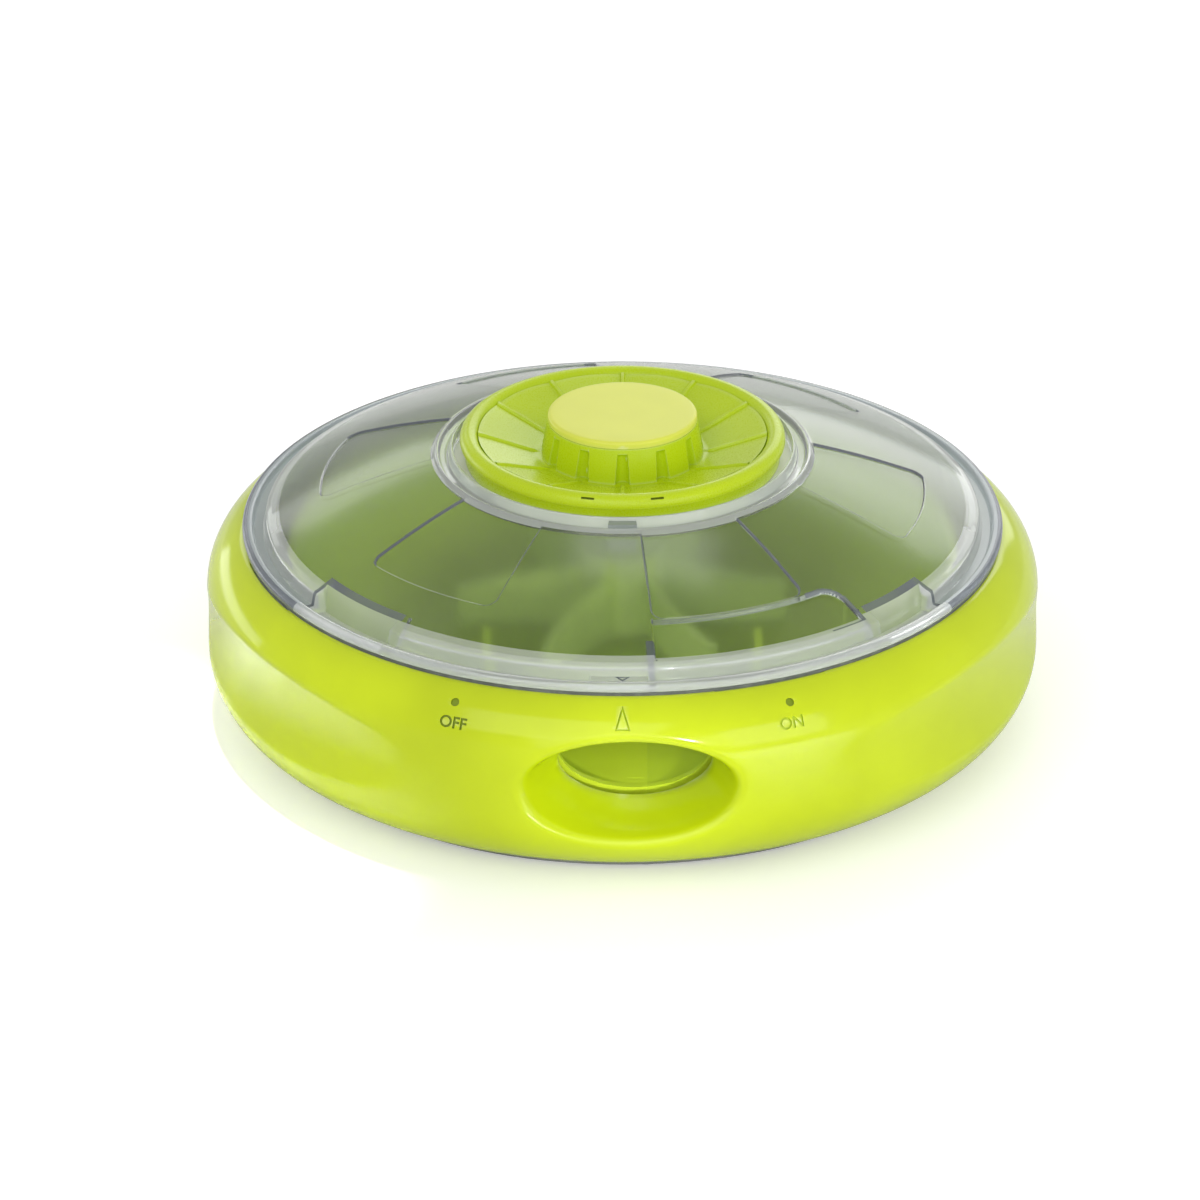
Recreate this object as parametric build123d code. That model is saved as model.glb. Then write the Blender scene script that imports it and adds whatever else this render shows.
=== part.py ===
from build123d import *

import math
import os

# Treat dispenser: a round body with a hopper bowl, a clear twist lid and a dial that turns a rotor.
# Millimetres, +Z up, the outlet faces -Y, and the feet stand on Z = 0.
# Azimuths are degrees from the front, positive towards +X.

# Shared values
TURN = 360.0
FRONT = -90.0
OVERRUN = 3.0
RUN_GAP = 0.3
SLIDE_GAP = 0.15
SEAT_GAP = 0.2

# Outer shell
BODY_R = 110.0
SHELL_WALL = 2.6
LOWER_CURVE_R = 24.0
LOWER_CURVE_H = 20.0
LOWER_RISE_SHARE = 0.975
SIDE_H = 16.0
SHOULDER_R = 16.45
SHOULDER_RISE_SHARE = 0.912
LIP_H = 2.7
LIP_W = 2.5
FLANGE_INSET = 30.0

# Scallops round the side
SCALLOP_COUNT = 6
SCALLOP_DEPTH = 3.0
SCALLOP_HALF_AZ = 29.5
SCALLOP_RISE = 8.3
SCALLOP_HOLLOW_R = 36.0
SCALLOP_ARC = 60.0

# Outlet mouth
MOUTH_HALF_W = 29.5
MOUTH_HALF_H = 14.4
MOUTH_RISE = 7.8
MOUTH_SIDE = 1.8
THROAT_SIDE = 3.3
MOUTH_TAPER_W = 9.9
MOUTH_TAPER_H = 4.5
THROAT_RISE = 1.1
MOUTH_WALL = 2.2
MOUTH_EDGE_R = 1.6

# Bottom cover and feet
COVER_INSET = 17.6
COVER_BOTTOM_Z = 0.7
COVER_H = 1.5
COVER_EDGE_W = 13.8
COVER_PAN_RISE = 1.0
COVER_RIM_W = 2.0
COVER_RIM_H = 3.4
COVER_RIB_W = 1.6
COVER_RIB_H = 3.0
COVER_HUB_R = 14.0
FOOT_COUNT = 6
FOOT_R = 11.6
FOOT_INSET = 12.4
FOOT_RECESS = 0.5
FOOT_EDGE_R = 0.4
FOOT_FIRST_AZ = 4.0

# Screws that hold the cover to the shell and the bowl to the cover
SCREW_SHANK_R = 1.4
SCREW_HEAD_R = 2.8
SCREW_HEAD_H = 1.4
COVER_SCREW_INSET = 7.9
COVER_BOSS_R = 3.6
COVER_BOSS_H = 6.8
BOWL_SCREW_COUNT = 4
BOWL_SCREW_INSET = 13.0
BOWL_BOSS_R = 4.2
BOWL_SCREW_L = 10.0
BOWL_SCREW_FIRST_AZ = 45.0

# Hopper bowl
BOWL_WALL = 2.0
BOWL_INSET = 7.0
BOWL_DROP = 6.7
PAN_R = 47.0
PAN_RISE = 21.8
BOWL_SLOPE_H = 10.0
CHANNEL_MARGIN = 14.4
CHANNEL_LAP = 3.0
CHANNEL_WALL_DROP = 3.0
CHANNEL_FALL = 3.6
CHANNEL_LIP_H = 2.4
PIVOT_BOSS_R = 7.0
PIVOT_BOSS_H = 10.0
PIVOT_R = 3.0
PIVOT_EMBED = 8.0
PIVOT_REACH = 7.0
PIVOT_CHAMFER = 0.8

# Lid
LID_WALL = 2.2
RIM_H = 2.2
RIM_W = 2.8
RIM_EDGE = 0.8
GROOVE_DEPTH = 1.5
SHOULDER_INSET = 5.9
SHOULDER_ROUND = 1.8
SHOULDER_RISE = 2.5
DOME_RISE = 16.1
DOME_CROWN = 1.1
SKIRT_GAP = 0.6
SKIRT_H = 6.7
COLLAR_GAP = 1.8
COLLAR_BEAD_W = 1.8
COLLAR_BEAD_H = 0.5
COLLAR_CHANNEL_W = 2.0
COLLAR_CHANNEL_DEPTH = 0.8
COLLAR_LIP_W = 1.4
COLLAR_LIP_H = 1.9
SHELF_DROP = 2.1
SHELF_H = 2.2

# Lid panels, window and mark block
PANEL_COUNT = 6
PANEL_FIRST_AZ = 20.5
PANEL_ARC = 30.0
PANEL_INSET = 20.8
PANEL_DEPTH = 0.6
PANEL_CORNER_R = 3.0
WINDOW_DEPTH = 0.9
WINDOW_INSET = 8.7
WINDOW_SIDE_H = 6.2
WINDOW_CROWN_H = 12.3
WINDOW_INSET_AZ = 1.2
MARK_BLOCK_FROM_AZ = -5.0
MARK_BLOCK_DROP = 0.3

# Lid finger pockets
POCKET_DEPTH = 2.0
POCKET_INSET = 9.7
POCKET_WALL = 1.8
LEFT_POCKET_FROM_AZ = -57.0
LEFT_POCKET_TO_AZ = -39.0
RIGHT_POCKET_FROM_AZ = 44.0
RIGHT_POCKET_TO_AZ = 57.5

# Bayonet between the lid and the shell
LUG_COUNT = 4
LUG_FIRST_AZ = 22.0
LUG_ARC = 16.0
LUG_REACH = 2.0
LUG_H = 2.2
NOTCH_PLAY_AZ = 0.7
LID_SWING = 25.0
STOP_PLAY_AZ = 1.0

# Outlet shutter under the lid
SHUTTER_FROM_AZ = 4.0
SHUTTER_TO_AZ = 43.0
SHUTTER_W = 2.0
SHUTTER_OVERLAP = 2.0
SHUTTER_GAP = 1.0
SHUTTER_RIB_W = 1.6
SHUTTER_RIB_L = 5.0
SHUTTER_RIB_DROP = 1.8

# Lid seal
SEAL_H = 0.8
SEAL_INSET = 0.4
SEAL_W = 1.6

# Dial
BEAD_RING_R = 40.3
BEAD_R = 2.5
BEAD_DROP = 0.7
DIAL_WALL = 2.4
DIAL_SKIRT_W = 2.4
DISH_SIDES = 12
DISH_EDGE_W = 2.1
DISH_H = 4.9
DISH_FLOOR_MARGIN = 1.0
DISH_RISE = 2.1
DISH_RIB_W = 1.1
DISH_RIB_H = 0.7
JOURNAL_W = 2.8
JOURNAL_GAP = 0.4
DIAL_FLOAT = 0.6
SLIP_RING_H = 0.6
DIAL_HUB_R = 9.0
DIAL_HUB_H = 12.0

# Dial retainer
RETAINER_H = 2.2
RETAINER_W = 13.1
RETAINER_MARGIN = 0.3
PILLAR_COUNT = 4
PILLAR_INSET = 9.2
PILLAR_R = 3.0
RETAINER_SCREW_R = 1.1
RETAINER_SCREW_HEAD_R = 2.3
RETAINER_SCREW_HEAD_H = 1.5
RETAINER_SCREW_L = 6.6

# Knob
KNOB_TOP_R = 19.6
KNOB_TAPER = 1.8
KNOB_H = 11.2
KNOB_CAP_H = 2.0
KNOB_CAP_EDGE_R = 0.9
KNOB_CAP_SPIGOT_H = 2.0
KNOB_WALL = 3.4
KNOB_FLOOR_H = 2.0
FLUTE_COUNT = 12
FLUTE_LOW_R = 2.1
FLUTE_TOP_R = 0.9
FLUTE_TOP_MARGIN = 1.6

# Spindle, rotor and bush
SPINDLE_W = 7.8
SPINDLE_FIT = 0.1
SPINDLE_PIN_GAP = 2.0
SPINDLE_COLLAR_R = 7.6
SPINDLE_COLLAR_H = 3.0
SPINDLE_SCREW_R = 1.5
SPINDLE_SCREW_HEAD_R = 3.2
SPINDLE_SCREW_HEAD_H = 2.2
SPINDLE_SCREW_L = 14.0
ROTOR_HUB_R = 11.0
ROTOR_HUB_H = 22.0
ROTOR_FLOOR_GAP = 1.0
VANE_COUNT = 6
VANE_FIRST_AZ = 30.0
VANE_W = 2.4
VANE_PAN_GAP = 3.5
VANE_ROOT_H = 18.0
VANE_TIP_H = 10.0
VANE_BEND_R = 60.0
BUSH_WALL = 2.0
BUSH_H = 5.0

# Heights that follow from those above, from the floor upwards
COVER_TOP_Z = COVER_BOTTOM_Z + COVER_H
SHELL_BOTTOM_Z = COVER_TOP_Z
FLANGE_TOP_Z = SHELL_BOTTOM_Z + SHELL_WALL
COVER_BOSS_TOP_Z = SHELL_BOTTOM_Z + COVER_BOSS_H
SIDE_LOW_Z = SHELL_BOTTOM_Z + LOWER_CURVE_H * LOWER_RISE_SHARE
SIDE_HIGH_Z = SIDE_LOW_Z + SIDE_H
LIP_TOP_Z = SIDE_HIGH_Z + SHOULDER_R * SHOULDER_RISE_SHARE
LIP_BOTTOM_Z = LIP_TOP_Z - LIP_H
SCALLOP_Z = SIDE_LOW_Z + SCALLOP_RISE
MOUTH_Z = SIDE_LOW_Z + MOUTH_RISE
THROAT_Z = MOUTH_Z + THROAT_RISE
BOWL_TOP_Z = LIP_TOP_Z - BOWL_DROP
PAN_Z = COVER_TOP_Z + PAN_RISE
BOWL_SLOPE_TOP_Z = PAN_Z + BOWL_SLOPE_H
CHANNEL_WALL_TOP_Z = BOWL_TOP_Z - CHANNEL_WALL_DROP
CHANNEL_OUT_Z = PAN_Z - CHANNEL_FALL
CHANNEL_LIP_Z = CHANNEL_OUT_Z - CHANNEL_LIP_H
PIVOT_BOSS_BOTTOM_Z = PAN_Z - PIVOT_BOSS_H
PIVOT_BOTTOM_Z = PAN_Z - PIVOT_EMBED
PIVOT_TOP_Z = PAN_Z + PIVOT_REACH
SEAL_TOP_Z = LIP_TOP_Z + SEAL_H
RIM_BOTTOM_Z = SEAL_TOP_Z + SEAT_GAP
RIM_TOP_Z = RIM_BOTTOM_Z + RIM_H
MARK_BLOCK_TOP_Z = RIM_TOP_Z - MARK_BLOCK_DROP
GROOVE_Z = RIM_TOP_Z - GROOVE_DEPTH
POCKET_FLOOR_Z = GROOVE_Z - POCKET_DEPTH
SHUTTER_RIB_BOTTOM_Z = GROOVE_Z - SHUTTER_RIB_DROP
SHUTTER_BOTTOM_Z = CHANNEL_LIP_Z - SHUTTER_OVERLAP
SKIRT_BOTTOM_Z = RIM_BOTTOM_Z - SKIRT_H
SHOULDER_Z = RIM_TOP_Z + SHOULDER_RISE
DOME_TOP_Z = SHOULDER_Z + DOME_RISE
COLLAR_LIP_Z = DOME_TOP_Z + COLLAR_LIP_H
SHELF_TOP_Z = DOME_TOP_Z - SHELF_DROP
SHELF_BOTTOM_Z = SHELF_TOP_Z - SHELF_H
SLIP_RING_TOP_Z = SHELF_TOP_Z + SLIP_RING_H
DIAL_SKIRT_Z = SLIP_RING_TOP_Z + SEAT_GAP
RETAINER_TOP_Z = SHELF_BOTTOM_Z - DIAL_FLOAT
RETAINER_BOTTOM_Z = RETAINER_TOP_Z - RETAINER_H
DISH_FLOOR_Z = SHELF_TOP_Z + DISH_RISE
DISH_TOP_Z = DISH_FLOOR_Z + DISH_H
DISH_BOTTOM_Z = DISH_FLOOR_Z - DIAL_WALL
BEAD_Z = DISH_TOP_Z - BEAD_DROP
HUB_BOTTOM_Z = DISH_BOTTOM_Z - DIAL_HUB_H
KNOB_FLOOR_Z = DISH_FLOOR_Z + KNOB_FLOOR_H
KNOB_TOP_Z = DISH_FLOOR_Z + KNOB_H
KNOB_RIM_Z = KNOB_TOP_Z - KNOB_CAP_H
SPINDLE_BOTTOM_Z = PIVOT_TOP_Z + SPINDLE_PIN_GAP
SPINDLE_TOP_Z = DISH_BOTTOM_Z
ROTOR_BOTTOM_Z = PAN_Z + ROTOR_FLOOR_GAP
ROTOR_HUB_TOP_Z = ROTOR_BOTTOM_Z + ROTOR_HUB_H
VANE_ROOT_TOP_Z = ROTOR_BOTTOM_Z + VANE_ROOT_H
VANE_TIP_TOP_Z = ROTOR_BOTTOM_Z + VANE_TIP_H

# Radii and widths that follow, from the outside of the body inwards and from the dial outwards
LOWER_CENTRE_R = BODY_R - LOWER_CURVE_R
SHOULDER_CENTRE_R = BODY_R - SHOULDER_R
FLANGE_BORE_R = BODY_R - FLANGE_INSET
SCALLOP_IN_R = BODY_R - SCALLOP_DEPTH
SCALLOP_TIP_X = BODY_R * math.cos(math.radians(SCALLOP_HALF_AZ))
SCALLOP_AXIS_BACK = SCALLOP_DEPTH * (BODY_R + SCALLOP_IN_R) / (SCALLOP_IN_R - SCALLOP_TIP_X) / 2
SCALLOP_RUN_R = SCALLOP_IN_R + SCALLOP_AXIS_BACK
COVER_R = BODY_R - COVER_INSET
COVER_PAN_R = COVER_R - COVER_EDGE_W
COVER_SCREW_RING_R = COVER_R - COVER_SCREW_INSET
FOOT_CENTRE_R = COVER_R - FOOT_INSET
LID_R = SHOULDER_CENTRE_R + SHOULDER_R * math.sqrt(1 - SHOULDER_RISE_SHARE**2)
RIM_IN_R = LID_R - RIM_W
LIP_BORE_R = LID_R - LIP_W
SKIRT_OUT_R = LIP_BORE_R - SKIRT_GAP
SKIRT_IN_R = SKIRT_OUT_R - LID_WALL
LUG_R = SKIRT_OUT_R + LUG_REACH
SHOULDER_EDGE_R = LID_R - SHOULDER_INSET
PANEL_OUT_R = LID_R - PANEL_INSET
WINDOW_OUT_R = LID_R - WINDOW_INSET
WINDOW_SIDE_R = WINDOW_OUT_R - WINDOW_SIDE_H
WINDOW_CROWN_R = WINDOW_OUT_R - WINDOW_CROWN_H
POCKET_IN_R = LID_R - POCKET_INSET
BOWL_R = SKIRT_IN_R - BOWL_INSET
BOWL_IN_R = BOWL_R - BOWL_WALL
SHUTTER_IN_R = BOWL_R + SHUTTER_GAP
SHUTTER_OUT_R = SHUTTER_IN_R + SHUTTER_W
SHUTTER_RIB_IN_R = SHUTTER_IN_R - SHUTTER_RIB_L
THROAT_END_R = SHUTTER_OUT_R + SHUTTER_GAP
THROAT_HALF_W = MOUTH_HALF_W - MOUTH_TAPER_W
THROAT_HALF_H = MOUTH_HALF_H - MOUTH_TAPER_H
CHANNEL_HALF_W = THROAT_HALF_W + CHANNEL_MARGIN
BOWL_SCREW_RING_R = PAN_R - BOWL_SCREW_INSET
VANE_TIP_R = PAN_R - VANE_PAN_GAP
BUSH_IN_R = PIVOT_R + SLIDE_GAP
BUSH_R = BUSH_IN_R + BUSH_WALL
SOCKET_W = SPINDLE_W + SPINDLE_FIT + SPINDLE_FIT
KNOB_BORE_R = KNOB_TOP_R - KNOB_WALL
KNOB_BASE_R = KNOB_TOP_R + KNOB_TAPER
DISH_FLOOR_R = KNOB_BASE_R + DISH_FLOOR_MARGIN
DISH_TOP_R = BEAD_RING_R - DISH_EDGE_W
DIAL_SKIRT_R = BEAD_RING_R + BEAD_R - RUN_GAP
RETAINER_OUT_R = BEAD_RING_R + RETAINER_MARGIN
RETAINER_IN_R = RETAINER_OUT_R - RETAINER_W
PILLAR_RING_R = RETAINER_OUT_R - PILLAR_INSET
SHELF_IN_R = RETAINER_OUT_R - LID_WALL - DIAL_FLOAT
JOURNAL_R = SHELF_IN_R - JOURNAL_GAP
COLLAR_IN_R = BEAD_RING_R + BEAD_R + COLLAR_GAP
COLLAR_CHANNEL_IN_R = COLLAR_IN_R + COLLAR_LIP_W
COLLAR_BEAD_IN_R = COLLAR_CHANNEL_IN_R + COLLAR_CHANNEL_W
DOME_TOP_R = COLLAR_BEAD_IN_R + COLLAR_BEAD_W


def turned(points):
    """Solid of revolution about Z from an outline of (radius, height) points."""
    outline = Polyline(*[(r, 0, z) for r, z in points], close=True)
    return revolve(make_face(outline), Axis.Z)


def tube(out_r, in_r, low_z, high_z):
    """Round wall between two heights."""
    return turned([(in_r, low_z), (out_r, low_z), (out_r, high_z), (in_r, high_z)])


def disc(radius, low_z, high_z):
    """Round plate or pin on the axis between two heights."""
    return Pos(0, 0, low_z) * extrude(Circle(radius), high_z - low_z)


def ring_sector(in_r, out_r, low_z, high_z, from_az, to_az):
    """Part of a round wall between two azimuths."""
    corners = [(in_r, 0, low_z), (out_r, 0, low_z), (out_r, 0, high_z), (in_r, 0, high_z)]
    section = make_face(Polyline(*corners, close=True))
    swept = revolve(section, Axis.Z, revolution_arc=to_az - from_az)
    return Rot(0, 0, from_az + FRONT) * swept


def around(shape, radius, azimuth):
    """Shape moved out to a radius in the direction of an azimuth."""
    return Rot(0, 0, azimuth + FRONT) * Pos(radius, 0, 0) * shape


def azimuths(count, first):
    """Evenly spaced azimuths round a whole turn."""
    return [first + TURN * index / count for index in range(count)]


def square_bar(width, low_z, high_z):
    """Square bar on the axis between two heights."""
    return Pos(0, 0, low_z) * extrude(Rectangle(width, width), high_z - low_z)


def flat_head_screw(shank_r, head_r, head_h, low_z, high_z):
    """Countersunk screw that points up, with its head at the bottom."""
    neck_z = low_z + head_h
    return turned([(0, low_z), (head_r, low_z), (shank_r, neck_z), (shank_r, high_z), (0, high_z)])


def pan_head_screw(shank_r, head_r, head_h, seat_z, tip_z):
    """Pan head screw whose head lies outside its seat, opposite to the tip."""
    away = math.copysign(head_h, seat_z - tip_z)
    outline = [(0, seat_z + away), (head_r, seat_z + away), (head_r, seat_z), (shank_r, seat_z)]
    return turned(outline + [(shank_r, tip_z), (0, tip_z)])


def body_form(inset, low_z, high_z):
    """Solid round form of the body, drawn in by inset and cut off at two heights."""
    side_r = BODY_R - inset
    lower_r = LOWER_CURVE_R - inset
    lower_h = LOWER_CURVE_H - inset
    upper_r = SHOULDER_R - inset
    low_angle = -math.degrees(math.asin((SIDE_LOW_Z - low_z) / lower_h))
    high_angle = math.degrees(math.asin((high_z - SIDE_HIGH_Z) / upper_r))
    lower_centre = (LOWER_CENTRE_R, SIDE_LOW_Z)
    lower = Plane.XZ * EllipticalCenterArc(lower_centre, lower_r, lower_h, low_angle, arc_size=-low_angle)
    side = Line((side_r, 0, SIDE_LOW_Z), (side_r, 0, SIDE_HIGH_Z))
    upper = Plane.XZ * CenterArc((SHOULDER_CENTRE_R, SIDE_HIGH_Z), upper_r, 0, high_angle)
    ends = Polyline(lower @ 0, (0, 0, low_z), (0, 0, high_z), upper @ 1)
    return revolve(make_face([lower, side, upper, ends]), Axis.Z)


def scallop(azimuth, growth):
    """Shallow leaf-shaped hollow in the side, made fuller by growth for the wall behind it."""
    hollow_r = SCALLOP_HOLLOW_R + growth
    section = Plane.XZ * Pos(SCALLOP_RUN_R + SCALLOP_HOLLOW_R, SCALLOP_Z) * Circle(hollow_r)
    swept = Rot(0, 0, -SCALLOP_ARC / 2) * revolve(section, Axis.Z, revolution_arc=SCALLOP_ARC)
    return Rot(0, 0, azimuth + FRONT) * Pos(-SCALLOP_AXIS_BACK, 0, 0) * swept


def mouth_form(growth):
    """Outlet scoop that narrows evenly from in front of the body to the throat, then runs straight in."""
    over_share = OVERRUN / (BODY_R - THROAT_END_R)
    outer_x = MOUTH_SIDE - (THROAT_SIDE - MOUTH_SIDE) * over_share
    outer_z = MOUTH_Z - THROAT_RISE * over_share
    half_w = MOUTH_HALF_W + MOUTH_TAPER_W * over_share + growth
    half_h = MOUTH_HALF_H + MOUTH_TAPER_H * over_share + growth
    outer = Plane((outer_x, -BODY_R - OVERRUN, outer_z), (1, 0, 0), (0, -1, 0))
    inner = Plane((THROAT_SIDE, -THROAT_END_R, THROAT_Z), (1, 0, 0), (0, -1, 0))
    rim = outer * Ellipse(half_w, half_h)
    throat = inner * Ellipse(THROAT_HALF_W + growth, THROAT_HALF_H + growth)
    return loft([throat, rim]) + extrude(throat, BOWL_IN_R - THROAT_END_R - OVERRUN)


def outer_form():
    """Solid outside of the body with its scallops and the round-edged outlet scoop."""
    form = body_form(0, SHELL_BOTTOM_Z, LIP_TOP_Z)
    for azimuth in azimuths(SCALLOP_COUNT, 0)[1:]:
        form -= scallop(azimuth, 0)
    form -= mouth_form(0)
    front_y = -(BODY_R + THROAT_END_R) / 2
    mouth_edges = [edge for edge in form.edges() if edge.bounding_box().max.Y < front_y]
    return fillet(mouth_edges, MOUTH_EDGE_R)


def body_cavity():
    """Inside of the shell, less the walls behind the scallops and the scoop and the bayonet stops."""
    cavity = body_form(SHELL_WALL, FLANGE_TOP_Z, LIP_BOTTOM_Z)
    for azimuth in azimuths(SCALLOP_COUNT, 0)[1:]:
        cavity -= scallop(azimuth, SHELL_WALL)
    cavity -= mouth_form(MOUTH_WALL) - disc(THROAT_END_R, 0, LIP_TOP_Z)
    pitch = TURN / LUG_COUNT
    half = pitch / 2 - LUG_ARC / 2 - LID_SWING - STOP_PLAY_AZ
    low_z = LIP_BOTTOM_Z - LUG_H
    for azimuth in azimuths(LUG_COUNT, LUG_FIRST_AZ + pitch / 2):
        in_r = LIP_BORE_R - OVERRUN
        cavity -= ring_sector(in_r, BODY_R, low_z, LIP_TOP_Z, azimuth - half, azimuth + half)
    return cavity


def outer_shell():
    """Body shell with its scallops, outlet scoop, screw bosses and bayonet lip."""
    shell = outer_form() - body_cavity()
    shell -= disc(LIP_BORE_R, LIP_BOTTOM_Z - LUG_H - OVERRUN, LIP_TOP_Z + OVERRUN)
    shell -= disc(FLANGE_BORE_R, SHELL_BOTTOM_Z - OVERRUN, FLANGE_TOP_Z + OVERRUN)
    boss = disc(COVER_BOSS_R, SHELL_BOTTOM_Z, COVER_BOSS_TOP_Z)
    hole = disc(SCREW_SHANK_R, SHELL_BOTTOM_Z - OVERRUN, COVER_BOSS_TOP_Z + OVERRUN)
    for azimuth in cover_screw_azimuths():
        shell += around(boss, COVER_SCREW_RING_R, azimuth)
        shell -= around(hole, COVER_SCREW_RING_R, azimuth)
    half = LUG_ARC / 2 + NOTCH_PLAY_AZ
    in_r = LIP_BORE_R - OVERRUN
    low_z = LIP_BOTTOM_Z - OVERRUN
    high_z = LIP_TOP_Z + OVERRUN
    for azimuth in azimuths(LUG_COUNT, LUG_FIRST_AZ):
        shell -= ring_sector(in_r, LUG_R + SKIRT_GAP, low_z, high_z, azimuth - half, azimuth + half)
    return shell


def cover_screw_azimuths():
    """Cover screws lie halfway between the feet."""
    return azimuths(FOOT_COUNT, FOOT_FIRST_AZ + TURN / FOOT_COUNT / 2)


def bottom_cover():
    """Round cover under the shell with foot recesses, a locating rim and stiffening ribs."""
    pan_z = COVER_TOP_Z + COVER_PAN_RISE
    rim_z = COVER_TOP_Z + COVER_RIM_H
    rib_z = COVER_TOP_Z + COVER_RIB_H
    cover = disc(COVER_R, COVER_BOTTOM_Z, COVER_TOP_Z)
    cover += disc(COVER_PAN_R, COVER_BOTTOM_Z, pan_z)
    cover += tube(COVER_PAN_R, COVER_PAN_R - COVER_RIM_W, COVER_TOP_Z, rim_z)
    cover += tube(COVER_HUB_R, COVER_HUB_R - COVER_RIM_W, COVER_TOP_Z, rib_z)
    rib_l = COVER_PAN_R - COVER_HUB_R - COVER_RIM_W
    rib = Pos(COVER_HUB_R - COVER_RIM_W / 2 + rib_l / 2, 0, COVER_TOP_Z) * extrude(
        Rectangle(rib_l + COVER_RIM_W / 2, COVER_RIB_W), COVER_RIB_H
    )
    recess = disc(FOOT_R, COVER_BOTTOM_Z - OVERRUN, COVER_BOTTOM_Z + FOOT_RECESS)
    screw = flat_head_screw(SCREW_SHANK_R, SCREW_HEAD_R, SCREW_HEAD_H, COVER_BOTTOM_Z, rim_z)
    for azimuth in azimuths(FOOT_COUNT, FOOT_FIRST_AZ):
        cover += around(rib, 0, azimuth)
        cover -= around(recess, FOOT_CENTRE_R, azimuth)
    for azimuth in cover_screw_azimuths():
        cover -= around(screw, COVER_SCREW_RING_R, azimuth)
    for azimuth in azimuths(BOWL_SCREW_COUNT, BOWL_SCREW_FIRST_AZ):
        cover -= around(screw, BOWL_SCREW_RING_R, azimuth)
    return cover


def foot(azimuth):
    """Rubber pad in its recess under the cover."""
    pad = disc(FOOT_R, 0, COVER_BOTTOM_Z + FOOT_RECESS)
    pad = chamfer(pad.edges().sort_by(Axis.Z)[0], FOOT_EDGE_R)
    return around(pad, FOOT_CENTRE_R, azimuth)


def cover_screws():
    """Screws through the cover into the shell's bosses."""
    screw = flat_head_screw(SCREW_SHANK_R, SCREW_HEAD_R, SCREW_HEAD_H, COVER_BOTTOM_Z, COVER_BOSS_TOP_Z)
    return [around(screw, COVER_SCREW_RING_R, azimuth) for azimuth in cover_screw_azimuths()]


def bowl_screws():
    """Screws through the cover into the bowl's posts."""
    tip_z = COVER_BOTTOM_Z + BOWL_SCREW_L
    screw = flat_head_screw(SCREW_SHANK_R, SCREW_HEAD_R, SCREW_HEAD_H, COVER_BOTTOM_Z, tip_z)
    places = azimuths(BOWL_SCREW_COUNT, BOWL_SCREW_FIRST_AZ)
    return [around(screw, BOWL_SCREW_RING_R, azimuth) for azimuth in places]


def channel_prism(half_w, floor_drop, high_z):
    """Block over the sloping outlet channel, from the pan to the bowl's wall."""
    start_y = -PAN_R + BOWL_WALL + CHANNEL_LAP
    end_y = -BOWL_R
    side = Polyline(
        (0, start_y, PAN_Z - floor_drop),
        (0, end_y, CHANNEL_OUT_Z - floor_drop),
        (0, end_y, high_z),
        (0, start_y, high_z),
        close=True,
    )
    return extrude(make_face(side), half_w, both=True)


def hopper_bowl():
    """Bowl with a rotor pan, a rising floor, an outlet channel and posts to the cover."""
    bowl = turned(
        [
            (0, PAN_Z - BOWL_WALL),
            (PAN_R, PAN_Z - BOWL_WALL),
            (BOWL_R, BOWL_SLOPE_TOP_Z - BOWL_WALL),
            (BOWL_R, BOWL_TOP_Z),
            (BOWL_IN_R, BOWL_TOP_Z),
            (BOWL_IN_R, BOWL_SLOPE_TOP_Z),
            (PAN_R - BOWL_WALL, PAN_Z),
            (0, PAN_Z),
        ]
    )
    inside = disc(BOWL_IN_R, 0, BOWL_TOP_Z + OVERRUN)
    wall_half_w = CHANNEL_HALF_W + BOWL_WALL
    outer = channel_prism(wall_half_w, BOWL_WALL, CHANNEL_WALL_TOP_Z) & inside
    void = channel_prism(CHANNEL_HALF_W, 0, CHANNEL_WALL_TOP_Z + OVERRUN) & inside
    front_block = Pos(0, -BOWL_R, CHANNEL_LIP_Z) * extrude(
        Rectangle(wall_half_w + wall_half_w, BOWL_R), BOWL_TOP_Z - CHANNEL_LIP_Z
    )
    bowl += outer
    bowl += tube(BOWL_R, BOWL_IN_R, CHANNEL_LIP_Z, BOWL_TOP_Z) & front_block
    bowl -= void
    bowl -= mouth_form(0)
    bowl += disc(PIVOT_BOSS_R, PIVOT_BOSS_BOTTOM_Z, PAN_Z)
    bowl -= disc(PIVOT_R, PIVOT_BOTTOM_Z, PAN_Z + OVERRUN)
    post_low_z = COVER_TOP_Z + COVER_PAN_RISE
    post = disc(BOWL_BOSS_R, post_low_z, PAN_Z - BOWL_WALL / 2)
    hole = disc(SCREW_SHANK_R, post_low_z - OVERRUN, COVER_BOTTOM_Z + BOWL_SCREW_L)
    for azimuth in azimuths(BOWL_SCREW_COUNT, BOWL_SCREW_FIRST_AZ):
        bowl += around(post, BOWL_SCREW_RING_R, azimuth)
        bowl -= around(hole, BOWL_SCREW_RING_R, azimuth)
    return bowl


def pivot_pin():
    """Steel pin in the middle of the bowl that steadies the rotor."""
    pin = disc(PIVOT_R, PIVOT_BOTTOM_Z, PIVOT_TOP_Z)
    return chamfer(pin.edges().sort_by(Axis.Z)[-1], PIVOT_CHAMFER)


def lid_seal():
    """Soft ring under the rim of the lid."""
    out_r = LID_R - SEAL_INSET
    return tube(out_r, out_r - SEAL_W, LIP_TOP_Z, SEAL_TOP_Z)


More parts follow.
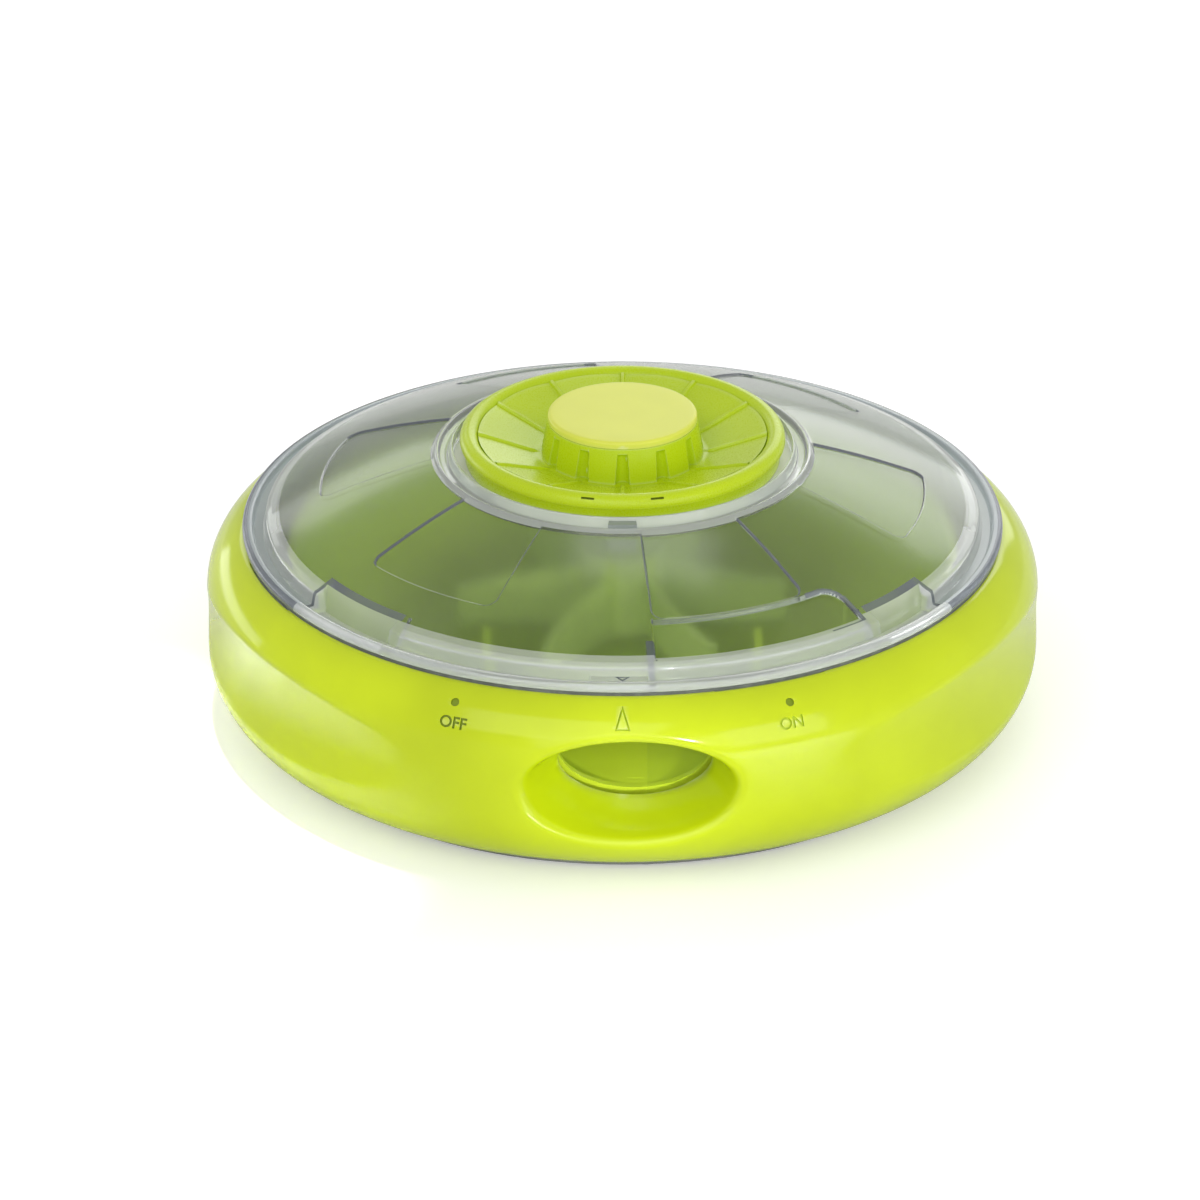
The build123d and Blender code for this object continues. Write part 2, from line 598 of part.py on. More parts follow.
def dome_arc(drop):
    """Slightly crowned line of the dome in the XZ plane, lowered by drop."""
    start = Vector(DOME_TOP_R, 0, DOME_TOP_Z - drop)
    end = Vector(SHOULDER_EDGE_R - SHOULDER_ROUND, 0, SHOULDER_Z - drop)
    run = end - start
    rise = Vector(-run.Z, 0, run.X).normalized()
    crown = Line(start, end).center() + rise * DOME_CROWN
    return ThreePointArc(start, crown, end)


def lid_top_edges():
    """Upper outline of the lid from the dial opening to the rim."""
    dome = dome_arc(0)
    shoulder_foot = Vector(SHOULDER_EDGE_R, 0, SHOULDER_Z - SHOULDER_ROUND)
    channel_z = DOME_TOP_Z - COLLAR_CHANNEL_DEPTH
    bead_z = DOME_TOP_Z + COLLAR_BEAD_H
    collar = Polyline(
        (SHELF_IN_R, 0, SHELF_TOP_Z),
        (COLLAR_IN_R, 0, SHELF_TOP_Z),
        (COLLAR_IN_R, 0, COLLAR_LIP_Z),
        (COLLAR_IN_R + COLLAR_LIP_W / 2, 0, COLLAR_LIP_Z),
        (COLLAR_CHANNEL_IN_R, 0, channel_z),
        (COLLAR_BEAD_IN_R, 0, channel_z),
        (COLLAR_BEAD_IN_R + COLLAR_BEAD_H, 0, bead_z),
        (DOME_TOP_R - COLLAR_BEAD_H, 0, bead_z),
        dome @ 0,
    )
    shoulder = TangentArc(dome @ 1, shoulder_foot, tangent=dome % 1)
    rim = Polyline(
        shoulder_foot,
        (SHOULDER_EDGE_R + RIM_EDGE / 2, 0, GROOVE_Z),
        (RIM_IN_R - RIM_EDGE / 2, 0, GROOVE_Z),
        (RIM_IN_R, 0, RIM_TOP_Z - RIM_EDGE / 2),
        (RIM_IN_R + RIM_EDGE / 2, 0, RIM_TOP_Z),
        (LID_R - RIM_EDGE, 0, RIM_TOP_Z),
        (LID_R, 0, RIM_TOP_Z - RIM_EDGE),
        (LID_R, 0, RIM_BOTTOM_Z),
    )
    return [collar, dome, shoulder, rim]


def lid_blank():
    """Turned wall of the lid with its rim, skirt and dial shelf."""
    under = dome_arc(LID_WALL)
    step_r = SHOULDER_EDGE_R - LID_WALL
    skirt = Polyline(
        (LID_R, 0, RIM_BOTTOM_Z),
        (SKIRT_OUT_R, 0, RIM_BOTTOM_Z),
        (SKIRT_OUT_R, 0, SKIRT_BOTTOM_Z),
        (SKIRT_IN_R, 0, SKIRT_BOTTOM_Z),
        (SKIRT_IN_R, 0, GROOVE_Z - LID_WALL),
        (step_r, 0, GROOVE_Z - LID_WALL),
        under @ 1,
    )
    hub = Polyline(
        under @ 0,
        (COLLAR_CHANNEL_IN_R, 0, SHELF_BOTTOM_Z),
        (SHELF_IN_R, 0, SHELF_BOTTOM_Z),
        (SHELF_IN_R, 0, SHELF_TOP_Z),
    )
    return revolve(make_face(lid_top_edges() + [skirt, under, hub]), Axis.Z)


def lid_envelope():
    """Everything below the lid's upper outline, to trim what is added under the lid."""
    ends = Polyline(
        (LID_R, 0, RIM_BOTTOM_Z),
        (LID_R, 0, SHUTTER_BOTTOM_Z),
        (SHELF_IN_R, 0, SHUTTER_BOTTOM_Z),
        (SHELF_IN_R, 0, SHELF_TOP_Z),
    )
    return revolve(make_face(lid_top_edges() + [ends]), Axis.Z)


def dome_skin(depth):
    """Layer of the dome from depth below its face to well above it."""
    lower = dome_arc(depth)
    upper = dome_arc(-OVERRUN)
    inner = Line(lower @ 0, upper @ 0)
    outer = Line(upper @ 1, lower @ 1)
    return revolve(make_face([lower, inner, upper, outer]), Axis.Z)


def polar(radius, azimuth):
    """Plan point at a radius and an azimuth."""
    angle = math.radians(azimuth + FRONT)
    return Vector(radius * math.cos(angle), radius * math.sin(angle))


def plan_arc(radius, from_az, to_az):
    """Arc about the axis in plan, from one azimuth to another."""
    middle_az = (from_az + to_az) / 2
    return ThreePointArc(polar(radius, from_az), polar(radius, middle_az), polar(radius, to_az))


def panel_plan(azimuth):
    """Plan outline of one moulded panel on the dome, with rounded outer corners."""
    from_az = azimuth - PANEL_ARC / 2
    to_az = azimuth + PANEL_ARC / 2
    inner = plan_arc(DOME_TOP_R, from_az, to_az)
    outer = plan_arc(PANEL_OUT_R, to_az, from_az)
    plan = make_face([inner, Line(inner @ 1, outer @ 0), outer, Line(outer @ 1, inner @ 0)])
    corners = plan.vertices().sort_by(lambda corner: corner.center().length)[-2:]
    return fillet(corners, PANEL_CORNER_R)


def window_plan():
    """Plan outline of the arched window above the shutter."""
    from_az = SHUTTER_FROM_AZ + WINDOW_INSET_AZ
    to_az = SHUTTER_TO_AZ - WINDOW_INSET_AZ
    middle_az = (from_az + to_az) / 2
    outer = plan_arc(WINDOW_OUT_R, from_az, to_az)
    crown = ThreePointArc(
        polar(WINDOW_SIDE_R, to_az), polar(WINDOW_CROWN_R, middle_az), polar(WINDOW_SIDE_R, from_az)
    )
    return make_face([outer, Line(outer @ 1, crown @ 0), crown, Line(crown @ 1, outer @ 0)])


def dome_recess(plan, depth):
    """Shallow recess of a plan outline in the face of the dome."""
    column = Pos(0, 0, RIM_BOTTOM_Z) * extrude(plan, COLLAR_LIP_Z - RIM_BOTTOM_Z + OVERRUN)
    return column & dome_skin(depth)


def finger_pocket(lid, from_az, to_az):
    """Lid with a finger pocket let into its shoulder, casing included."""
    edge_az = math.degrees(POCKET_WALL / POCKET_IN_R)
    case_in_r = POCKET_IN_R - POCKET_WALL
    case_low_z = POCKET_FLOOR_Z - POCKET_WALL
    void_out_r = RIM_IN_R - RIM_EDGE / 2
    void_top_z = SHOULDER_Z + OVERRUN
    case = ring_sector(case_in_r, SKIRT_OUT_R, case_low_z, SHOULDER_Z, from_az - edge_az, to_az + edge_az)
    void = ring_sector(POCKET_IN_R, void_out_r, POCKET_FLOOR_Z, void_top_z, from_az, to_az)
    return lid + (case & lid_envelope()) - void


def shutter():
    """Curved gate that hangs from the lid and covers the outlet, with a rib at each end."""
    gate = ring_sector(
        SHUTTER_IN_R, SHUTTER_OUT_R, SHUTTER_BOTTOM_Z, SHOULDER_Z, SHUTTER_FROM_AZ, SHUTTER_TO_AZ
    )
    rib_l = SKIRT_IN_R - SHUTTER_RIB_IN_R + LID_WALL / 2
    rib = Pos(SHUTTER_RIB_IN_R + rib_l / 2, 0, SHUTTER_RIB_BOTTOM_Z) * extrude(
        Rectangle(rib_l, SHUTTER_RIB_W), SHOULDER_Z
    )
    turn_az = math.degrees(SHUTTER_RIB_W / 2 / SHUTTER_OUT_R)
    gate += around(rib, 0, SHUTTER_FROM_AZ + turn_az)
    gate += around(rib, 0, SHUTTER_TO_AZ - turn_az)
    return gate & lid_envelope()


def lid():
    """Clear twist lid with panels, finger pockets, bayonet lugs and the outlet shutter."""
    cover = lid_blank() + shutter()
    for azimuth in azimuths(PANEL_COUNT, PANEL_FIRST_AZ):
        cover -= dome_recess(panel_plan(azimuth), PANEL_DEPTH)
    cover -= dome_recess(window_plan(), WINDOW_DEPTH)
    cover = finger_pocket(cover, LEFT_POCKET_FROM_AZ, LEFT_POCKET_TO_AZ)
    cover = finger_pocket(cover, RIGHT_POCKET_FROM_AZ, RIGHT_POCKET_TO_AZ)
    block_in_r = SHOULDER_EDGE_R - LID_WALL / 2
    block_out_r = RIM_IN_R + RIM_EDGE
    block_low_z = GROOVE_Z - LID_WALL / 2
    cover += ring_sector(
        block_in_r, block_out_r, block_low_z, MARK_BLOCK_TOP_Z, MARK_BLOCK_FROM_AZ, SHUTTER_FROM_AZ
    )
    lug_top_z = SKIRT_BOTTOM_Z + LUG_H
    for azimuth in azimuths(LUG_COUNT, LUG_FIRST_AZ):
        from_az = azimuth - LUG_ARC / 2
        to_az = azimuth + LUG_ARC / 2
        cover += ring_sector(SKIRT_IN_R + LID_WALL / 2, LUG_R, SKIRT_BOTTOM_Z, lug_top_z, from_az, to_az)
    return cover


def slip_ring():
    """Thin ring on the lid's shelf that the dial turns on."""
    out_r = COLLAR_IN_R - RUN_GAP
    return tube(out_r, SHELF_IN_R + RUN_GAP, SHELF_TOP_Z, SLIP_RING_TOP_Z)


def dial_blank():
    """Turned blank of the dial: bead, skirt, floor, journal and hub."""
    skirt_in_r = DIAL_SKIRT_R - DIAL_SKIRT_W
    flank_z = DISH_TOP_Z - DIAL_WALL
    blank = turned(
        [
            (0, DISH_BOTTOM_Z),
            (DISH_FLOOR_R, DISH_BOTTOM_Z),
            (DISH_TOP_R, flank_z),
            (skirt_in_r, flank_z),
            (skirt_in_r, DIAL_SKIRT_Z),
            (DIAL_SKIRT_R, DIAL_SKIRT_Z),
            (DIAL_SKIRT_R, BEAD_Z),
            (BEAD_RING_R, DISH_TOP_Z),
            (0, DISH_TOP_Z),
        ]
    )
    bead = revolve(Plane.XZ * Pos(BEAD_RING_R, BEAD_Z) * Circle(BEAD_R), Axis.Z)
    journal_top_z = (DISH_FLOOR_Z + DISH_TOP_Z) / 2
    journal = tube(JOURNAL_R, JOURNAL_R - JOURNAL_W, RETAINER_TOP_Z, journal_top_z)
    return blank + bead + journal + disc(DIAL_HUB_R, HUB_BOTTOM_Z, DISH_FLOOR_Z)


def dish_hollow():
    """Twelve-sided sloping hollow of the dial."""
    spread = 1 / math.cos(math.pi / DISH_SIDES)
    floor = Pos(0, 0, DISH_FLOOR_Z) * RegularPolygon(DISH_FLOOR_R * spread, DISH_SIDES)
    mouth = Pos(0, 0, DISH_TOP_Z) * RegularPolygon(DISH_TOP_R, DISH_SIDES)
    return loft([floor, mouth]) + extrude(mouth, BEAD_R + OVERRUN)


def dish_rib():
    """Low radial rib on one corner of the hollow, before it is turned into place."""
    outline = Polyline(
        (DISH_FLOOR_R, 0, DISH_FLOOR_Z - DISH_RIB_H),
        (DISH_TOP_R, 0, DISH_TOP_Z - DISH_RIB_H),
        (DISH_TOP_R, 0, DISH_TOP_Z + DISH_RIB_H),
        (DISH_FLOOR_R, 0, DISH_FLOOR_Z + DISH_RIB_H),
        close=True,
    )
    return extrude(make_face(outline), DISH_RIB_W / 2, both=True)


def dial_dish():
    """Dial with a faceted dish, a bead rim and a journal through the lid."""
    dial = dial_blank() - dish_hollow()
    pillar_top_z = DISH_FLOOR_Z + DISH_RIB_H
    pillar = disc(PILLAR_R, RETAINER_TOP_Z, pillar_top_z)
    hole = disc(RETAINER_SCREW_R, RETAINER_TOP_Z - OVERRUN, RETAINER_TOP_Z + RETAINER_SCREW_L - RETAINER_H)
    for azimuth in azimuths(DISH_SIDES, 0):
        dial += around(dish_rib(), 0, azimuth)
    for azimuth in azimuths(PILLAR_COUNT, 0):
        dial += around(pillar, PILLAR_RING_R, azimuth)
        dial -= around(hole, PILLAR_RING_R, azimuth)
    dial -= square_bar(SOCKET_W, HUB_BOTTOM_Z - OVERRUN, DISH_BOTTOM_Z)
    return dial - disc(SPINDLE_SCREW_R, DISH_BOTTOM_Z - OVERRUN, DISH_FLOOR_Z + OVERRUN)


def dial_retainer():
    """Ring under the lid's shelf that keeps the dial in place."""
    ring = tube(RETAINER_OUT_R, RETAINER_IN_R, RETAINER_BOTTOM_Z, RETAINER_TOP_Z)
    hole = disc(RETAINER_SCREW_R, RETAINER_BOTTOM_Z - OVERRUN, RETAINER_TOP_Z + OVERRUN)
    for azimuth in azimuths(PILLAR_COUNT, 0):
        ring -= around(hole, PILLAR_RING_R, azimuth)
    return ring


def retainer_screws():
    """Screws through the retainer into the dial's pillars."""
    tip_z = RETAINER_BOTTOM_Z + RETAINER_SCREW_L
    screw = pan_head_screw(
        RETAINER_SCREW_R, RETAINER_SCREW_HEAD_R, RETAINER_SCREW_HEAD_H, RETAINER_BOTTOM_Z, tip_z
    )
    return [around(screw, PILLAR_RING_R, azimuth) for azimuth in azimuths(PILLAR_COUNT, 0)]


def knob():
    """Tapered knob cup with flutes that widen towards the dish."""
    cup = turned(
        [(0, DISH_FLOOR_Z), (KNOB_BASE_R, DISH_FLOOR_Z), (KNOB_TOP_R, KNOB_RIM_Z), (0, KNOB_RIM_Z)]
    )
    cup -= disc(KNOB_BORE_R, KNOB_FLOOR_Z, KNOB_RIM_Z + OVERRUN)
    cup -= disc(SPINDLE_SCREW_R, DISH_FLOOR_Z - OVERRUN, KNOB_FLOOR_Z + OVERRUN)
    flute_h = KNOB_RIM_Z - FLUTE_TOP_MARGIN - DISH_FLOOR_Z
    flute = turned([(0, 0), (FLUTE_LOW_R, 0), (FLUTE_TOP_R, flute_h), (0, flute_h)])
    lean = math.degrees(math.atan((KNOB_BASE_R - KNOB_TOP_R) / (KNOB_RIM_Z - DISH_FLOOR_Z)))
    leaning_flute = Pos(0, 0, DISH_FLOOR_Z) * Rot(0, -lean, 0) * flute
    for azimuth in azimuths(FLUTE_COUNT, 0):
        cup -= around(leaning_flute, KNOB_BASE_R, azimuth)
    return cup


def knob_cap():
    """Plain disc that closes the top of the knob."""
    cap = disc(KNOB_TOP_R, KNOB_RIM_Z, KNOB_TOP_Z)
    cap = fillet(cap.edges().sort_by(Axis.Z)[-1], KNOB_CAP_EDGE_R)
    spigot_r = KNOB_BORE_R - SPINDLE_FIT
    return cap + tube(spigot_r, spigot_r - BUSH_WALL, KNOB_RIM_Z - KNOB_CAP_SPIGOT_H, KNOB_RIM_Z)


def spindle():
    """Square drive shaft from the dial's hub to the rotor."""
    bar = square_bar(SPINDLE_W, SPINDLE_BOTTOM_Z, SPINDLE_TOP_Z)
    bar += disc(SPINDLE_COLLAR_R, HUB_BOTTOM_Z - SPINDLE_COLLAR_H, HUB_BOTTOM_Z)
    tip_z = KNOB_FLOOR_Z - SPINDLE_SCREW_L
    return bar - disc(SPINDLE_SCREW_R, tip_z, SPINDLE_TOP_Z + OVERRUN)


def spindle_screw():
    """Screw that clamps knob, dial and spindle together."""
    tip_z = KNOB_FLOOR_Z - SPINDLE_SCREW_L
    return pan_head_screw(SPINDLE_SCREW_R, SPINDLE_SCREW_HEAD_R, SPINDLE_SCREW_HEAD_H, KNOB_FLOOR_Z, tip_z)


def vane():
    """Curved vane of the rotor, pointing along +X, trimmed to its sloping top."""
    middle_r = (ROTOR_HUB_R + VANE_TIP_R) / 2
    out_r = VANE_BEND_R + VANE_W / 2
    in_r = VANE_BEND_R - VANE_W / 2
    strip = Pos(middle_r, VANE_BEND_R, 0) * (Circle(out_r) - Circle(in_r))
    column = Pos(0, 0, ROTOR_BOTTOM_Z) * extrude(strip, VANE_ROOT_TOP_Z)
    profile = Polyline(
        (ROTOR_HUB_R / 2, 0, ROTOR_BOTTOM_Z),
        (VANE_TIP_R, 0, ROTOR_BOTTOM_Z),
        (VANE_TIP_R, 0, VANE_TIP_TOP_Z),
        (ROTOR_HUB_R / 2, 0, VANE_ROOT_TOP_Z),
        close=True,
    )
    sweep_arc = TURN / VANE_COUNT
    envelope = Rot(0, 0, -sweep_arc / 2) * revolve(make_face(profile), Axis.Z, revolution_arc=sweep_arc)
    return column & envelope


def rotor():
    """Rotor with a hub and curved vanes that sweep the pan."""
    wheel = disc(ROTOR_HUB_R, ROTOR_BOTTOM_Z, ROTOR_HUB_TOP_Z)
    for azimuth in azimuths(VANE_COUNT, VANE_FIRST_AZ):
        wheel += around(vane(), 0, azimuth)
    wheel -= square_bar(SOCKET_W, SPINDLE_BOTTOM_Z, ROTOR_HUB_TOP_Z + OVERRUN)
    wheel -= disc(BUSH_R, ROTOR_BOTTOM_Z - OVERRUN, ROTOR_BOTTOM_Z + BUSH_H)
    return wheel - disc(BUSH_IN_R, ROTOR_BOTTOM_Z, PIVOT_TOP_Z + ROTOR_FLOOR_GAP)


def rotor_bush():
    """Plain bearing in the rotor that runs on the pivot pin."""
    return tube(BUSH_R, BUSH_IN_R, ROTOR_BOTTOM_Z, ROTOR_BOTTOM_Z + BUSH_H)


def write(name, shape):
    """One STEP file for one named piece, or for a group of like pieces."""
    solids = shape if isinstance(shape, list) else [shape]
    group = Compound(children=[solid for item in solids for solid in item.solids()])
    whole = group if len(group.solids()) > 1 else group.solids()[0]
    export_step(whole, os.path.join("parts", name + ".step"))


def main():
    os.makedirs("parts", exist_ok=True)
    write("outer_shell", outer_shell())
    write("bottom_cover", bottom_cover())
    for index, azimuth in enumerate(azimuths(FOOT_COUNT, FOOT_FIRST_AZ)):
        write(f"foot_{index + 1}", foot(azimuth))
    write("cover_screws", cover_screws())
    write("bowl_screws", bowl_screws())
    write("hopper_bowl", hopper_bowl())
    write("pivot_pin", pivot_pin())
    write("lid_seal", lid_seal())
    write("lid", lid())
    write("slip_ring", slip_ring())
    write("dial_dish", dial_dish())
    write("dial_retainer", dial_retainer())
    write("retainer_screws", retainer_screws())
    write("knob", knob())
    write("knob_cap", knob_cap())
    write("spindle", spindle())
    write("spindle_screw", spindle_screw())
    write("rotor", rotor())
    write("rotor_bush", rotor_bush())


main()
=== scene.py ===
from math import asin, atan2, cos, degrees, hypot, pi, radians, sin, sqrt, tau

import bmesh
import bpy
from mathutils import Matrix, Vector


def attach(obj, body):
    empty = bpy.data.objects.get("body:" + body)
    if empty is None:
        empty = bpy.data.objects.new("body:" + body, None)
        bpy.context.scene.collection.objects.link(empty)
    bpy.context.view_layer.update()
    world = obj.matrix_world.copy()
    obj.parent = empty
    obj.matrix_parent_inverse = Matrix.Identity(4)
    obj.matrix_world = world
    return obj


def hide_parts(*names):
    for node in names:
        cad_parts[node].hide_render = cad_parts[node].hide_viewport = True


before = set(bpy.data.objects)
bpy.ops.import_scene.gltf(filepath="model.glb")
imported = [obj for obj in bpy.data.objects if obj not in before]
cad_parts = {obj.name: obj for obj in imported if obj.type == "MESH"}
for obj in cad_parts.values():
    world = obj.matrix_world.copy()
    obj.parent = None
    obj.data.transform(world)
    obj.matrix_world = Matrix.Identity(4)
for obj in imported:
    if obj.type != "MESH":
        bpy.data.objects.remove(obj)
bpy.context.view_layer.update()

# Looks of the treat dispenser. Sizes are millimetres in the frame of the solids, +Z up, outlet
# towards -Y. Azimuths are degrees from the front, positive towards +X.
MM = 0.001
TURN = 360.0
SHARP_ANGLE = radians(32.0)
WELD_DISTANCE = 0.000004
ROUND_SEGMENTS = 3
ROUND_REACH = 0.45
STATION_GAP_AZ = 0.02
EDGE_GAP_AZ = 0.08

# Body shell
BODY_R = 110.0
SHELL_WALL = 2.6
SHELL_BOTTOM_Z = 2.2
SIDE_LOW_Z = 21.7
SIDE_HIGH_Z = 37.7
LOWER_CURVE_R = 24.0
LOWER_CURVE_H = 20.0
SHOULDER_R = 16.45
LIP_TOP_Z = 52.7
LIP_BOTTOM_Z = 50.0
LIP_BORE_R = 97.8
LIP_EDGE = 0.4
FLANGE_BORE_R = 80.0
FLANGE_TOP_Z = SHELL_BOTTOM_Z + SHELL_WALL
NOTCH_R = 99.8
STOP_BOTTOM_Z = 47.8
NOTCH_FIRST_AZ = 22.0
NOTCH_HALF_AZ = 8.7
STOP_HALF_AZ = 11.0
LUG_COUNT = 4
SHELL_STEP_AZ = 1.0
LOWER_ROWS = 18
SIDE_ROWS = 14
SHOULDER_ROWS = 20
INSIDE_ROWS = 26

# Scallops round the side
SCALLOP_COUNT = 6
SCALLOP_RUN_R = 135.9
SCALLOP_AXIS_BACK = 28.9
SCALLOP_Z = 30.0
SCALLOP_HOLLOW_R = 36.0
SCALLOP_SOFT = 0.35

# Outlet scoop
MOUTH_HALF_W = 29.5
MOUTH_HALF_H = 14.4
MOUTH_SIDE = 1.8
MOUTH_Z = 29.5
THROAT_HALF_W = 19.6
THROAT_HALF_H = 9.9
THROAT_SIDE = 3.3
THROAT_Z = 30.6
THROAT_END_R = 92.0
MOUTH_WALL = 2.2
MOUTH_LIP = 2.6
MOUTH_BLOCK_AZ = 23.0
MOUTH_BLOCK_LOW_Z = 9.4
MOUTH_BLOCK_HIGH_Z = 48.6
OUTSIDE_RINGS = 9
INSIDE_RINGS = 4
LIP_RINGS = 6
SCOOP_RINGS = 7
SCOOP_BEFORE_FRONT = -0.5
HALVINGS = 30

# Lid
LID_WALL = 2.2
LID_R = 100.3
DOME_TOP_R = 49.8
DOME_TOP_Z = 74.5
DOME_FOOT_R = 92.6
DOME_FOOT_Z = 58.4
DOME_CROWN = 1.1
DOME_ROWS = ((0.0, 0.6, 22), (0.6, 0.72, 24), (0.72, 1.0, 34))
UNDER_ROWS = 24
RIM_BOTTOM_Z = 53.7
# Beyond this azimuth the rim gets painted shade, with a darker edge beyond the next radius
RIM_BAND_AZ = 57.5
RIM_EDGE_R = 99.0
RIM_CLEAR_R = 90.4
GROOVE_IN_R = 94.9
GROOVE_OUT_R = 97.0
GROOVE_Z = 54.4
GROOVE_POINTS = 8
SKIRT_OUT_R = 97.2
SKIRT_IN_R = 95.0
SKIRT_BOTTOM_Z = 47.0
SHELF_IN_R = 37.8
SHELF_TOP_Z = 72.4
SHELF_BOTTOM_Z = 70.2
LUG_R = 99.2
LUG_TOP_Z = 49.2
LUG_HALF_AZ = 8.0
LID_STEP_AZ = 1.5
EDGE_OVERLAP = 0.1
PANEL_COUNT = 6
PANEL_FIRST_AZ = 20.5
PANEL_HALF_AZ = 15.0
PANEL_OUT_R = 79.5
PANEL_DEPTH = 0.6
PANEL_CORNER = 3.0
PANEL_SOFT = 0.45
# Widths of the dark lines painted as shade along the panels' steps, and at their tops
PANEL_LINE_OUT = 0.45
PANEL_LINE_IN = 0.15
PANEL_TOP_LINE = 0.7
WINDOW_FROM_AZ = 5.2
WINDOW_TO_AZ = 41.8
WINDOW_OUT_R = 91.6
WINDOW_TOP_R = 80.4
WINDOW_CORNER = 5.0
# Width of the dark line painted as shade round the window
WINDOW_BAND = 0.8
WINDOW_DEPTH = 0.9
WINDOW_SOFT = 0.6
WINDOW_MARGIN_AZ = 0.6
WINDOW_COLUMNS = 90
POCKETS = ((-57.0, -39.0), (44.0, 57.5))
POCKET_FLOOR_Z = 52.4
POCKET_IN_R = 90.6
POCKET_OUT_R = 97.1
POCKET_CORNER = 0.6
POCKET_SOFT = 1.3
# Widths of the painted shade behind a pocket and at its far end
POCKET_BAND = 2.0
POCKET_END_BAND = 1.0
POCKET_FRONT_AZ = 2.0
SUNK_OUT_R = 97.3
SUNK_LOW_Z = 54.0
CASE_WALL = 1.8
CASE_SOFT = 0.8
CASE_OUT_R = 96.0
CASE_LOW_Z = 50.2
MARK_FROM_AZ = -5.0
MARK_TO_AZ = 4.0
MARK_TOP_Z = 55.6
MARK_IN_R = 94.2
MARK_SOFT = 0.3
SHUTTER_FROM_AZ = 4.0
SHUTTER_TO_AZ = 43.0
SHUTTER_IN_R = 89.0
SHUTTER_OUT_R = 91.0
SHUTTER_BOTTOM_Z = 16.0
SHUTTER_TOP_Z = 57.2
SHUTTER_START_Z = 40.0
SHUTTER_ROUND = 0.5
SHUTTER_COLUMNS = 40
RIB_HALF_W = 0.8
TAB_HALF_AZ = 4.4
TAB_IN_R = 45.2
TAB_OUT_R = 48.2
TAB_BOTTOM_Z = 73.5
TAB_TOP_Z = 75.6
TAB_START_Z = 74.4
TAB_ROUND = 0.3
TAB_COLUMNS = 10

# Sections of the lid, each point a radius and a height
COLLAR_ROUND = 0.35
COLLAR_POINTS = (
    (SHELF_IN_R, SHELF_TOP_Z), (44.6, SHELF_TOP_Z), (44.6, 76.4), (45.3, 76.4),
    (46.0, 73.7), (48.0, 73.7), (48.5, 75.0), (49.3, 75.0),
)
RIM_ROUND = 0.5
RIM_POINTS = (
    (94.0, 57.9), (94.4, 56.6), (94.8, GROOVE_Z), (97.1, GROOVE_Z), (97.5, 55.5), (97.9, 55.9),
    (99.5, 55.9), (LID_R, 55.1), (LID_R, RIM_BOTTOM_Z), (SKIRT_OUT_R, RIM_BOTTOM_Z),
)
SKIRT_POINTS = (
    (SKIRT_OUT_R, 51.0), (SKIRT_OUT_R, 49.4), (SKIRT_OUT_R, 49.1), (SKIRT_OUT_R, 47.3),
    (SKIRT_OUT_R, SKIRT_BOTTOM_Z), (SKIRT_IN_R, SKIRT_BOTTOM_Z), (SKIRT_IN_R, 50.4),
    (SKIRT_IN_R, 52.2), (93.6, 52.2), (92.2, 52.2),
)
HUB_POINTS = ((46.0, SHELF_BOTTOM_Z), (SHELF_IN_R, SHELF_BOTTOM_Z))
RIB_POINTS = ((84.0, 52.6), (95.6, 52.6), (94.2, 53.0), (92.0, 57.0), (84.0, 59.6))

# Dial and knob
BEAD_RING_R = 40.3
BEAD_R = 2.45
BEAD_Z = 78.3
BEAD_FROM_TURN = 168.0
BEAD_TO_TURN = -20.0
BEAD_ROWS = 26
DIAL_STEP_AZ = 2.5
DIAL_SKIRT_R = 41.4
DIAL_UNDER_POINTS = (
    (DIAL_SKIRT_R, 76.9), (DIAL_SKIRT_R, 73.2), (40.1, 73.2), (40.1, 76.6), (37.4, 76.6), (37.4, 69.6),
    (34.6, 69.6), (34.6, 75.4), (22.4, 72.1), (9.0, 72.1), (9.0, 60.1), (0.0, 60.1),
)
DISH_SIDES = 12
DISH_FLAT_RADII = (0.0, 8.0, 16.0, 20.5)
DISH_BEND_R = 22.0
DISH_SLOPE_IN_R = 22.6
DISH_SLOPE_OUT_R = 37.9
DISH_SLOPE_ROWS = 16
DISH_FLOOR_R = 22.4
DISH_FLOOR_Z = 74.5
DISH_TOP_R = 38.2
DISH_TOP_Z = 79.4
DISH_RIB_HALF_W = 0.55
DISH_RIB_H = 0.7
DISH_RIB_SOFT = 0.2
DISH_RIB_FROM = 0.5
DISH_RIB_FULL = 1.0
DISH_RIB_STEPS = (0.0, 0.5, 0.8, 1.1, 1.4, 1.8, 2.3, 3.2)
KNOB_STEP_AZ = 3.0
KNOB_BASE_R = 21.4
KNOB_TOP_R = 19.6
KNOB_RIM_Z = 83.7
KNOB_RIM_STEP = 0.5
KNOB_TOP_Z = 85.7
KNOB_BAND_ZS = (82.25, 82.45, 82.8, 83.3)
CAP_EDGE = 0.9
CAP_EDGE_ROWS = 8
CAP_FOOT = 0.2
CAP_TOP_RADII = (16.0, 8.0, 0.0)
FLUTE_COUNT = 12
FLUTE_ROWS = 14
FLUTE_LOW_R = 1.9
FLUTE_TOP_R = 1.35
FLUTE_TOP_Z = 82.1
FLUTE_END_BELOW = 0.2
FLUTE_END_ABOVE = 0.35
FLUTE_HALF_AZ = 6.4
FLUTE_COLUMNS = 13
SLIT_AZ = 12.3
SLIT_TURN = 42.0
SLIT_L = 3.4
SLIT_W = 0.6
SLIT_DEPTH = 0.9

